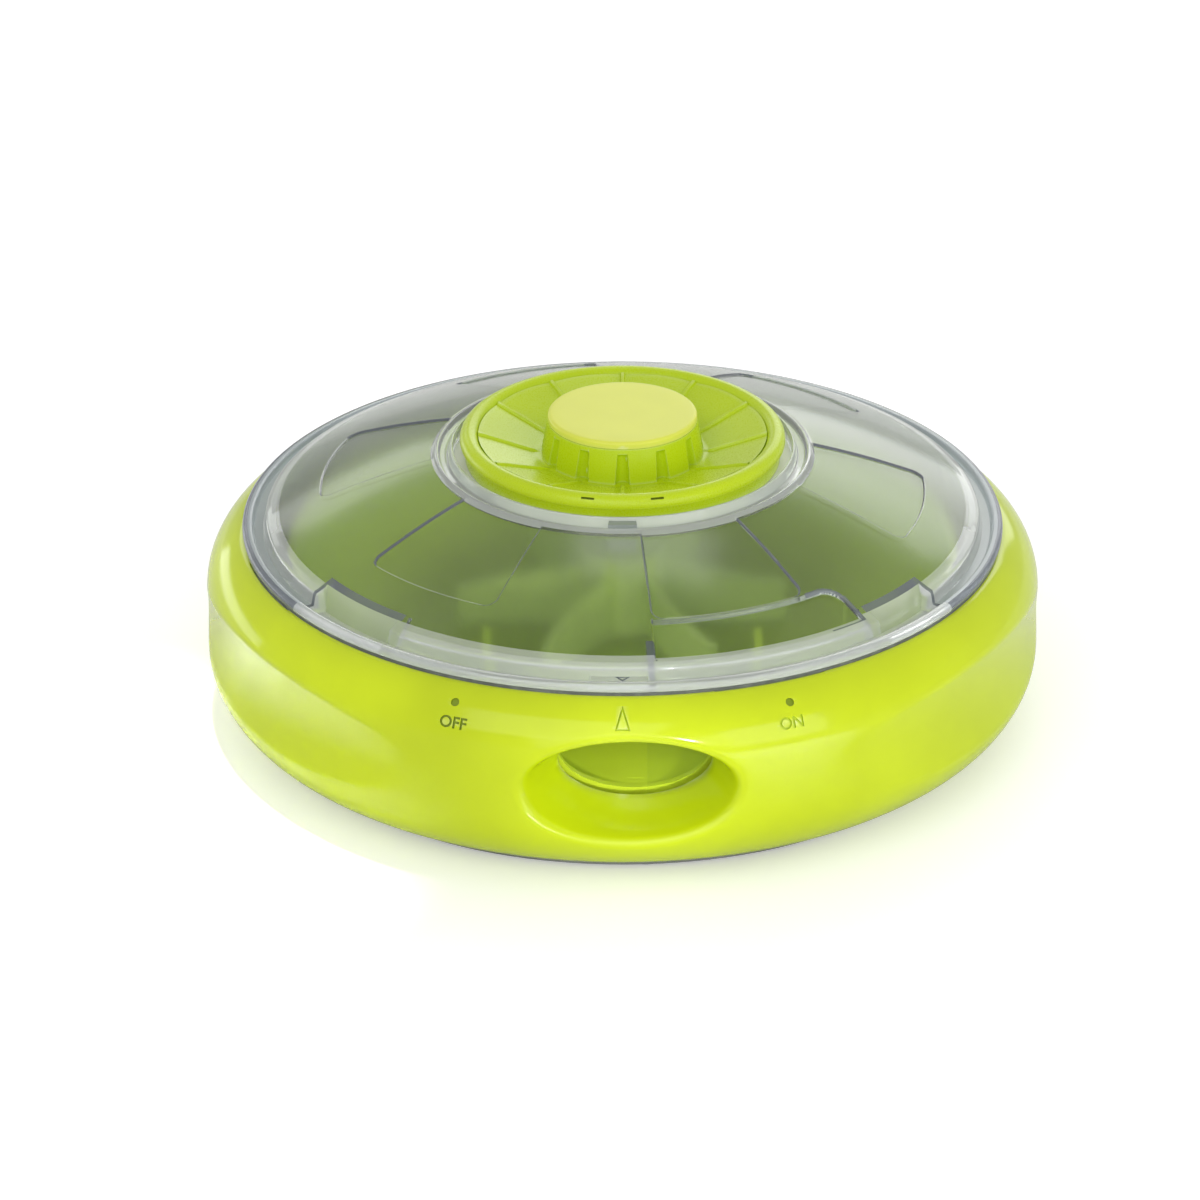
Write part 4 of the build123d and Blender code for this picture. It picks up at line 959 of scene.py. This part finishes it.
def engrave_shell(shell):
    """Sinks the two words, the two dots and the arrow into the shoulder."""
    cutters = []
    for word, az, colour in (("OFF", -WORD_AZ, lime_mark), ("ON", WORD_AZ, lime_line)):
        cutters.append(shoulder_cutter("cut_" + word, *word_shape(word), az, WORD_TURN, colour))
    for name, az in (("cut_dot_1", -DOT_AZ), ("cut_dot_2", DOT_AZ)):
        cutters.append(shoulder_cutter(name, *disc_shape(DOT_R), az, DOT_TURN, lime_mark))
    middle = (ARROW_LOW_TURN + ARROW_HIGH_TURN) / 2
    half_h = radians(ARROW_HIGH_TURN - ARROW_LOW_TURN) * SHOULDER_R / 2
    corners = [(-ARROW_HALF_W, -half_h), (ARROW_HALF_W, -half_h), (0.0, half_h)]
    cutters.append(shoulder_cutter("cut_arrow", *outline_shape(corners, ARROW_LINE), 0.0, middle, lime_line))
    cut(shell, cutters)


def engrave_lid(lid):
    """Sinks the small arrow into the top of the lid's mark block."""
    half_l = LID_ARROW_L / 2
    corners = [(-LID_ARROW_HALF_W, half_l), (0.0, -half_l), (LID_ARROW_HALF_W, half_l)]
    middle = LID_ARROW_R + half_l

    def wrap(across, up, height):
        return place(middle - up, degrees(across / middle), MARK_TOP_Z + height)

    # The arrow's sunk walls take the dark smoke: painted shade in its groove
    cut(lid, [sunk_shape("cut_lid_arrow", *outline_shape(corners, ARROW_LINE), wrap, lid_edge_shade)])


# Lid


def dome_point(share, drop=0.0):
    """Point of the dome's line, share 0 at the dial collar and 1 at the shoulder."""
    run_r = DOME_FOOT_R - DOME_TOP_R
    run_z = DOME_FOOT_Z - DOME_TOP_Z
    length = hypot(run_r, run_z)
    rise = 4.0 * DOME_CROWN * share * (1.0 - share)
    radius = DOME_TOP_R + run_r * share - run_z / length * rise
    return radius, DOME_TOP_Z + run_z * share + run_r / length * rise - drop


def inside_corner(across, along, corner):
    """Distance inside the nearest side of a corner, rounded by its radius."""
    if across > corner or along > corner:
        return min(across, along)
    return corner - hypot(corner - across, corner - along)


def sector_inside(az, radius, from_az, to_az):
    """Distance in millimetres inside the nearer end of a sector."""
    half = (to_az - from_az) / 2
    off = abs(turn_difference(az, (from_az + to_az) / 2))
    return radians(half - off) * radius


def panel_inside(az, radius):
    """Distances inside the nearest panel's two sides and inside its outline, negative outside."""
    pitch = TURN / PANEL_COUNT
    centre = PANEL_FIRST_AZ + pitch * round(turn_difference(az, PANEL_FIRST_AZ) / pitch)
    across = sector_inside(az, radius, centre - PANEL_HALF_AZ, centre + PANEL_HALF_AZ)
    return across, inside_corner(across, PANEL_OUT_R - radius, PANEL_CORNER)


def window_inside(az, radius):
    """Distance inside the clear window, negative outside it."""
    across = sector_inside(az, radius, WINDOW_FROM_AZ, WINDOW_TO_AZ)
    below_top = radius - WINDOW_TOP_R
    if az > (WINDOW_FROM_AZ + WINDOW_TO_AZ) / 2:
        return min(inside_corner(across, below_top, WINDOW_CORNER), WINDOW_OUT_R - radius)
    return min(across, below_top, WINDOW_OUT_R - radius)


def pocket_inside(az, radius, growth=0.0):
    """Distance inside the nearest finger pocket, grown for the casing behind it."""
    along = min(radius - POCKET_IN_R, POCKET_OUT_R - radius) + growth
    ends = [sector_inside(az, radius, from_az, to_az) + growth for from_az, to_az in POCKETS]
    return max(inside_corner(across, along, POCKET_CORNER) for across in ends)


def pocket_shade_band(az, radius):
    """True on the strip of painted shade behind a finger pocket and at its far end."""
    for from_az, to_az in POCKETS:
        front_end = min(abs(from_az), abs(to_az)) - POCKET_FRONT_AZ
        if az * from_az < 0.0 or abs(az) < front_end or radius > POCKET_OUT_R:
            continue
        across = sector_inside(az, radius, from_az, to_az)
        along = radius - POCKET_IN_R
        if across > -POCKET_END_BAND and along > -POCKET_BAND:
            far_half = abs(az) > (abs(from_az) + abs(to_az)) / 2
            return along < EDGE_OVERLAP or (across < EDGE_OVERLAP and far_half)
    return False


def lid_profile():
    """Closed section of the lid and the tag of each of its points."""
    collar = rounded([*COLLAR_POINTS, dome_point(0.0)], COLLAR_ROUND)
    top_line = PANEL_TOP_LINE / (DOME_FOOT_R - DOME_TOP_R)
    shares = sorted({top_line}.union(*(spread(*rows) for rows in DOME_ROWS)))
    dome = [dome_point(share) for share in shares[1:]]
    rim = rounded([dome[-1], *RIM_POINTS], RIM_ROUND)[1:]
    groove = [(radius, GROOVE_Z) for radius in spread(GROOVE_IN_R, GROOVE_OUT_R, GROOVE_POINTS)]
    before = [point for point in rim if point[0] < GROOVE_IN_R]
    after = [point for point in rim if point[0] > GROOVE_OUT_R]
    under = [dome_point(share, LID_WALL) for share in spread(1.0, 0.0, UNDER_ROWS)]
    lower = (("skirt", SKIRT_POINTS), ("under", under), ("hub", HUB_POINTS))
    tagged = (("collar", collar), ("dome", dome), ("rim", before + groove + after), *lower)
    profile = [point for _, points in tagged for point in points]
    return profile, [tag for tag, points in tagged for _ in points]


def lid_stations():
    """Azimuths of the lid's columns, closer where a panel, pocket, window or block ends."""
    panel_steps = spread(-0.6, 0.45, 7) + spread(0.7, 2.45, 7)
    pocket_steps = spread(-0.7, 1.0, 17)
    end_steps = spread(-0.3, 0.3, 4)
    extras = []
    for centre in around(PANEL_COUNT, PANEL_FIRST_AZ):
        for side in (-1, 1):
            extras += [centre + side * (PANEL_HALF_AZ - step) for step in panel_steps]
    for edge in (WINDOW_FROM_AZ, WINDOW_TO_AZ, MARK_FROM_AZ, MARK_TO_AZ):
        extras += [edge + step for step in end_steps]
    for from_az, to_az in POCKETS:
        extras += [from_az + step for step in pocket_steps] + [to_az - step for step in pocket_steps]
    extras += spread(WINDOW_FROM_AZ - WINDOW_MARGIN_AZ, WINDOW_TO_AZ + WINDOW_MARGIN_AZ, WINDOW_COLUMNS)
    extras += edge_pairs(LUG_AZS, LUG_HALF_AZ)
    return azimuth_stations(LID_STEP_AZ, extras)


def build_lid():
    """Twist lid as one closed mesh: collar, panelled dome, pockets, rim and lugs."""
    profile, tags = lid_profile()
    materials = [lid_frosted, lid_clear, lid_edge_shade, lid_window, lid_side_shade]
    frosted, clear, edge, pane, side_shade = range(len(materials))

    def form(az, row, radius, height):
        tag = tags[row]
        if tag == "dome":
            inside = panel_inside(az, radius)[1]
            height -= PANEL_DEPTH * soft_step(inside, -PANEL_SOFT / 2, PANEL_SOFT / 2)
        if tag == "dome" or (tag == "rim" and radius < SUNK_OUT_R and height > SUNK_LOW_Z):
            window = window_inside(az, radius)
            height -= WINDOW_DEPTH * soft_step(window, -WINDOW_SOFT / 2, WINDOW_SOFT / 2)
            pocket = soft_step(pocket_inside(az, radius), 0.0, POCKET_SOFT)
            height = mix(height, min(height, POCKET_FLOOR_Z), pocket)
            if tag == "rim" and radius > MARK_IN_R:
                block = sector_inside(az, radius, MARK_FROM_AZ, MARK_TO_AZ)
                height = mix(height, max(height, MARK_TOP_Z), soft_step(block, -MARK_SOFT, MARK_SOFT))
        if tag == "under" or (tag == "skirt" and height > CASE_LOW_Z and radius < CASE_OUT_R):
            case = soft_step(pocket_inside(az, radius, CASE_WALL), 0.0, CASE_SOFT)
            height = mix(height, min(height, POCKET_FLOOR_Z - CASE_WALL), case)
        low_skirt = tag == "skirt" and radius == SKIRT_OUT_R and height < LUG_TOP_Z
        if low_skirt and in_sectors(az, LUG_AZS, LUG_HALF_AZ):
            radius = LUG_R
        return radius, height

    def slot_of(az, row):
        tag = tags[row]
        radius = (profile[row][0] + profile[(row + 1) % len(profile)][0]) / 2
        # Painted shade of the finger pocket's wall, in dark smoke
        if tag in ("dome", "rim") and pocket_shade_band(az, radius):
            return edge
        # Painted shade on the rim at the sides: a darker milky strip and a dark outer edge, which the front
        # doesn't get
        if tag == "rim" and radius > SKIRT_IN_R and abs(az) > RIM_BAND_AZ:
            return edge if radius > RIM_EDGE_R else side_shade
        window = window_inside(az, radius)
        across, inside = panel_inside(az, radius)
        beside_panel = across < 0.0 and az > WINDOW_FROM_AZ
        # Painted shade of the window's step, in dark smoke
        if tag == "dome" and -WINDOW_BAND < window < EDGE_OVERLAP and beside_panel:
            return edge
        if tag not in ("dome", "under") or radius > RIM_CLEAR_R:
            return clear
        if window > 0.0:
            return pane
        # On a panel's outline the sides get painted shade in dark smoke, the outer arc a painted highlight
        # in pale clear smoke
        if tag == "dome" and -PANEL_LINE_OUT < inside < PANEL_LINE_IN:
            return edge if across < PANEL_CORNER else clear
        # Painted shade along the top step of each panel
        if tag == "dome" and inside > 0.0 and radius < DOME_TOP_R + PANEL_TOP_LINE:
            return edge
        return frosted

    return lathe("lid_dome", lid_stations(), profile, materials, form, slot_of)


def build_tab():
    """Small index tab in the channel round the dial."""
    azimuths = spread(-TAB_HALF_AZ, TAB_HALF_AZ, TAB_COLUMNS)
    radii, heights = (TAB_IN_R, TAB_OUT_R), (TAB_BOTTOM_Z, TAB_TOP_Z)
    return sector_block("lid_tab", radii, heights, TAB_START_Z, TAB_ROUND, azimuths, lid_index)


def shutter_rib(name, az, material):
    """Flat rib that stands across the shutter."""
    across = place(1.0, az + TURN / 4, 0.0).normalized()
    points = []
    for side in (-1, 1):
        shift = across * (side * RIB_HALF_W * MM)
        points += [place(radius, az, height) + shift for radius, height in RIB_POINTS]
    return prism(name, points, material)


def build_shutter():
    """Curved gate under the lid with a rib at each end."""
    azimuths = spread(SHUTTER_FROM_AZ, SHUTTER_TO_AZ, SHUTTER_COLUMNS)
    radii, heights = (SHUTTER_IN_R, SHUTTER_OUT_R), (SHUTTER_BOTTOM_Z, SHUTTER_TOP_Z)
    turn = degrees(RIB_HALF_W / SHUTTER_OUT_R)
    return [
        sector_block("lid_shutter", radii, heights, SHUTTER_START_Z, SHUTTER_ROUND, azimuths, gate_clear),
        # The first rib is in dark smoke: painted shade of its thick clear edge
        shutter_rib("lid_shutter_rib_1", SHUTTER_FROM_AZ + turn, lid_edge_shade),
        shutter_rib("lid_shutter_rib_2", SHUTTER_TO_AZ - turn, gate_clear),
    ]


# Dial and knob


def dish_height(az, radius):
    """Height of the faceted dish with its ribs."""
    facet = TURN / DISH_SIDES
    off = radians((az % facet) - facet / 2)
    top_apothem = DISH_TOP_R * cos(pi / DISH_SIDES)
    slope = (DISH_TOP_Z - DISH_FLOOR_Z) / (top_apothem - DISH_FLOOR_R)
    height = DISH_FLOOR_Z + max(0.0, (radius * cos(off) - DISH_FLOOR_R) * slope)
    across = radians(abs(turn_difference(az, facet * round(az / facet)))) * radius
    rib = 1.0 - soft_step(across, DISH_RIB_HALF_W - DISH_RIB_SOFT, DISH_RIB_HALF_W + DISH_RIB_SOFT)
    run = soft_step(radius, DISH_FLOOR_R - DISH_RIB_FROM, DISH_FLOOR_R + DISH_RIB_FULL)
    return height + DISH_RIB_H * rib * run


def build_dial():
    """Faceted dial dish with its bead, skirt, journal and hub."""
    slope_radii = spread(DISH_SLOPE_IN_R, DISH_SLOPE_OUT_R, DISH_SLOPE_ROWS)
    dish = [(radius, DISH_FLOOR_Z) for radius in (*DISH_FLAT_RADII, DISH_BEND_R, *slope_radii)]
    bead = []
    for turn in map(radians, spread(BEAD_FROM_TURN, BEAD_TO_TURN, BEAD_ROWS)):
        bead.append((BEAD_RING_R + BEAD_R * cos(turn), BEAD_Z + BEAD_R * sin(turn)))
    profile = [*dish, *bead, *DIAL_UNDER_POINTS]
    steps = [side * step for step in DISH_RIB_STEPS for side in (-1, 1)]
    extras = [centre + step for centre in around(DISH_SIDES) for step in steps]

    def form(az, row, radius, height):
        if len(DISH_FLAT_RADII) <= row < len(dish):
            height = dish_height(az, radius)
        return radius, height

    stations = azimuth_stations(DIAL_STEP_AZ, extras)
    ring = lathe("dial_ring", stations, profile, [lime_dial], form, closed=False)
    cut(ring, [bead_slit("cut_slit_1", -SLIT_AZ), bead_slit("cut_slit_2", SLIT_AZ)])
    return ring


def bead_slit(name, az):
    """Cutter for a short shallow slit along the bead."""
    half_l, half_w = SLIT_L / 2, SLIT_W / 2
    corners = [(-half_l, -half_w), (half_l, -half_w), (half_l, half_w), (-half_l, half_w)]
    points = []
    for reach in (BEAD_R + SLIT_DEPTH, BEAD_R - SLIT_DEPTH):
        for across, up in corners:
            lift = radians(SLIT_TURN) + up / BEAD_R
            radius = BEAD_RING_R + reach * cos(lift)
            aside = az + degrees(across / radius)
            points.append(place(radius, aside, BEAD_Z + reach * sin(lift)))
    return prism(name, points, lime_mark)


def build_knob():
    """Tapered knob with flutes that widen downwards."""
    heights = [*spread(DISH_FLOOR_Z, FLUTE_TOP_Z, FLUTE_ROWS), *KNOB_BAND_ZS, KNOB_RIM_Z]

    def side_radius(height):
        return mix(KNOB_BASE_R, KNOB_TOP_R, (height - DISH_FLOOR_Z) / (KNOB_RIM_Z - DISH_FLOOR_Z))

    def flute_depth(az, height):
        pitch = TURN / FLUTE_COUNT
        across = radians(turn_difference(az, pitch * round(az / pitch))) * side_radius(height)
        share = (height - DISH_FLOOR_Z) / (FLUTE_TOP_Z - DISH_FLOOR_Z)
        width = mix(FLUTE_LOW_R, FLUTE_TOP_R, clamp01(share))
        end = 1.0 - soft_step(height, FLUTE_TOP_Z - FLUTE_END_BELOW, FLUTE_TOP_Z + FLUTE_END_ABOVE)
        return sqrt(max(0.0, width * width - across * across)) * end

    profile = [(0.0, DISH_FLOOR_Z)] + [(side_radius(height), height) for height in heights]
    profile += [(KNOB_TOP_R - KNOB_RIM_STEP, KNOB_RIM_Z), (0.0, KNOB_RIM_Z)]
    steps = spread(-FLUTE_HALF_AZ, FLUTE_HALF_AZ, 2 * FLUTE_COLUMNS)
    extras = [centre + step for centre in around(FLUTE_COUNT) for step in steps]

    def form(az, row, radius, height):
        if 0 < row < len(profile) - 2:
            radius -= flute_depth(az, height)
        return radius, height

    stations = azimuth_stations(KNOB_STEP_AZ, extras)
    return lathe("knob_grip", stations, profile, [lime_dial], form, closed=False)


def build_cap():
    """Flat cap of the knob with a rounded edge, in a paler lime that is painted light from above."""
    profile = [(0.0, KNOB_RIM_Z), (KNOB_TOP_R - CAP_FOOT, KNOB_RIM_Z), (KNOB_TOP_R, KNOB_RIM_Z + CAP_FOOT)]
    for turn in map(radians, spread(0.0, TURN / 4, CAP_EDGE_ROWS)):
        radius = KNOB_TOP_R - CAP_EDGE + CAP_EDGE * cos(turn)
        profile.append((radius, KNOB_TOP_Z - CAP_EDGE + CAP_EDGE * sin(turn)))
    profile += [(radius, KNOB_TOP_Z) for radius in CAP_TOP_RADII]
    return lathe("knob_top", azimuth_stations(DIAL_STEP_AZ), profile, [lime_cap], closed=False)


# Pieces and what carries them

shell = build_shell()
engrave_shell(shell)
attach(shell, "base")
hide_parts("outer_shell")

lid_pieces = [build_lid(), build_tab()] + build_shutter()
engrave_lid(lid_pieces[0])
for piece in lid_pieces:
    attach(piece, "lid")
    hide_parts("lid")

dial = build_dial()
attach(dial, "dial")
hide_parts("dial_dish")

grip = build_knob()
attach(grip, "dial")
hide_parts("knob")

cap = build_cap()
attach(cap, "dial")
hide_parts("knob_cap")

for material, names in (
    (lime_shell, ["outer_shell"]),
    (lime_bowl, ["hopper_bowl"]),
    (lime_rotor, ["rotor", "dial_retainer"]),
    (lime_dial, ["dial_dish", "knob"]),
    (lime_cap, ["knob_cap"]),
    (lid_clear, ["lid"]),
    (grey_cover, ["bottom_cover"]),
    (pale_nylon, ["slip_ring", "spindle", "rotor_bush"]),
    (seal_rubber, ["lid_seal"]),
    (foot_rubber, [f"foot_{number}" for number in range(1, 7)]),
    (screw_steel, ["cover_screws", "bowl_screws", "retainer_screws", "spindle_screw"]),
    (pin_steel, ["pivot_pin"]),
):
    for name in names:
        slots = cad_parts[name].data.materials
        slots.clear()
        slots.append(material)


# Stage, lamps and camera

FLOOR_SIZE = 6.0
FLOOR_COLOUR = (0.86, 0.86, 0.86)
FLOOR_LIFT = 0.34
WORLD_LIGHT = 0.62
LAMP_TARGET = Vector((0.0, 0.0, 0.04))
SPOT_HEIGHT = 900.0
SPOT_BLEND = 0.6
SPOT_SOFT_SIZE = 0.02

# Soft boxes: name, azimuth, elevation, distance, width and height in metres, power in watts, and
# whether the plastics mirror them
AREA_LAMPS = (
    ("key_lamp", -18.0, 36.0, 1.9, 1.6, 1.2, 8.0, True),
    ("fill_lamp", 2.0, 12.0, 2.2, 2.0, 0.9, 6.0, True),
    ("left_lamp", -125.0, 3.0, 0.75, 0.5, 0.14, 0.45, True),
    ("right_lamp", 40.0, 12.0, 1.5, 0.7, 0.8, 3.4, True),
    ("right_side_lamp", 100.0, 14.0, 1.6, 0.6, 0.4, 3.6, False),
    ("back_lamp", 165.0, 28.0, 1.9, 1.2, 0.5, 3.8, True),
    ("low_back_lamp", 165.0, 12.5, 1.9, 1.0, 0.5, 2.5, True),
    ("left_back_lamp", -158.0, 21.0, 1.9, 0.5, 0.35, 0.8, True),
    ("top_lamp", 175.0, 60.0, 1.7, 0.5, 0.35, 0.9, True),
)

# Lamps straight above places on the floor, whose glow the side of the body mirrors: name, radius,
# azimuth, cone in degrees, power in watts
LEFT_SPOT_AZS = spread(-90.0, -38.0, 4)
FLOOR_SPOTS = (
    *((f"left_floor_spot_{number}", 133.0, az, 2.8, 45.0) for number, az in enumerate(LEFT_SPOT_AZS, 1)),
    ("right_floor_spot", 232.0, 32.7, 9.5, 100.0),
)

# Spot into the outlet: its place and its target as radius, azimuth and height
MOUTH_SPOT_AT = (1200.0, 14.0, 250.0)
MOUTH_SPOT_TARGET = (98.0, 0.5, 28.0)
MOUTH_SPOT_CONE = 3.2
MOUTH_SPOT_POWER = 26.0

CAMERA_ELEVATION = 25.7
CAMERA_DISTANCE = 1.8
CAMERA_TARGET_Z = 42.7
CAMERA_REACH = 20.0
SENSOR_WIDTH = 36.0
PHOTO_SIDE = 1200.0
PHOTO_TARGET = (622.5, 559.5)
PHOTO_PIXELS_PER_MM = 3.775


def build_floor():
    """Plain pale floor that stays white to the eye and keeps a soft shadow."""
    shader = Shader("floor_paper")
    path = shader.node("LightPath").outputs
    seen = shader.combine("MAXIMUM", path["Is Camera Ray"], path["Is Transmission Ray"])
    shader.set(Base_Color=shader.blend(shader.noise(3.0, 3.0), scaled(FLOOR_COLOUR, 0.995), FLOOR_COLOUR))
    shader.set(Roughness=0.9, Emission_Color=(1.0, 1.0, 1.0, 1.0))
    shader.set(Emission_Strength=shader.ramp(seen, 0.0, 1.0, 0.0, FLOOR_LIFT))
    half = FLOOR_SIZE / 2
    mesh = bpy.data.meshes.new("floor")
    corners = [(-half, -half, 0), (half, -half, 0), (half, half, 0), (-half, half, 0)]
    mesh.from_pydata(corners, [], [(0, 1, 2, 3)])
    mesh.materials.append(shader.material)
    floor = add_to_scene("floor", mesh)


def build_world():
    """Even pale surroundings, white where they are seen directly."""
    world = bpy.data.worlds.new("surroundings")
    bpy.context.scene.world = world
    world.use_nodes = True
    nodes = world.node_tree.nodes
    links = world.node_tree.links
    background = nodes["Background"]
    path = nodes.new("ShaderNodeLightPath")
    strength = nodes.new("ShaderNodeMapRange")
    strength.inputs["To Min"].default_value = WORLD_LIGHT
    strength.inputs["To Max"].default_value = 1.0
    links.new(path.outputs["Is Camera Ray"], strength.inputs["Value"])
    links.new(strength.outputs["Result"], background.inputs["Strength"])
    background.inputs["Color"].default_value = (1.0, 1.0, 1.0, 1.0)


def toward(az, elevation):
    """Unit vector from the object in a direction given in degrees."""
    turn, rise = radians(az), radians(elevation)
    return Vector((sin(turn) * cos(rise), -cos(turn) * cos(rise), sin(rise)))


def set_up(name, data, location, direction):
    """Object for a lamp or camera that looks along a direction."""
    holder = add_to_scene(name, data)
    holder.location = location
    holder.rotation_mode = "QUATERNION"
    holder.rotation_quaternion = direction.to_track_quat("-Z", "Y")
    return holder


def area_lamp(name, az, elevation, distance, width, height, power, mirrored):
    """Soft box that faces the object from a direction."""
    data = bpy.data.lights.new(name, "AREA")
    data.shape = "RECTANGLE"
    data.size = width
    data.size_y = height
    data.energy = power
    back = toward(az, elevation)
    set_up(name, data, back * distance + LAMP_TARGET, -back).visible_glossy = mirrored


def spot_lamp(name, location, target, cone, power):
    """Narrow lamp from one place towards another, both in metres."""
    data = bpy.data.lights.new(name, "SPOT")
    data.spot_size = radians(cone)
    data.spot_blend = SPOT_BLEND
    data.energy = power
    data.shadow_soft_size = SPOT_SOFT_SIZE
    set_up(name, data, location, target - location)


def build_camera():
    """Camera straight in front, at the photograph's height, scale and framing."""
    data = bpy.data.cameras.new("camera")
    back = toward(0.0, CAMERA_ELEVATION)
    location = Vector((0.0, 0.0, CAMERA_TARGET_Z * MM)) + back * CAMERA_DISTANCE
    data.sensor_width = SENSOR_WIDTH
    data.lens = SENSOR_WIDTH * CAMERA_DISTANCE / MM * PHOTO_PIXELS_PER_MM / PHOTO_SIDE
    data.shift_x = (PHOTO_SIDE / 2 - PHOTO_TARGET[0]) / PHOTO_SIDE
    data.shift_y = (PHOTO_TARGET[1] - PHOTO_SIDE / 2) / PHOTO_SIDE
    data.clip_end = CAMERA_REACH
    bpy.context.scene.camera = set_up("camera", data, location, -back)


build_floor()
build_world()
for lamp in AREA_LAMPS:
    area_lamp(*lamp)
for name, radius, az, cone, power in FLOOR_SPOTS:
    spot_lamp(name, place(radius, az, SPOT_HEIGHT), place(radius, az, 0.0), cone, power)
spot_lamp("mouth_spot", place(*MOUTH_SPOT_AT), place(*MOUTH_SPOT_TARGET), MOUTH_SPOT_CONE, MOUTH_SPOT_POWER)
build_camera()
bpy.context.scene.view_settings.view_transform = "Standard"
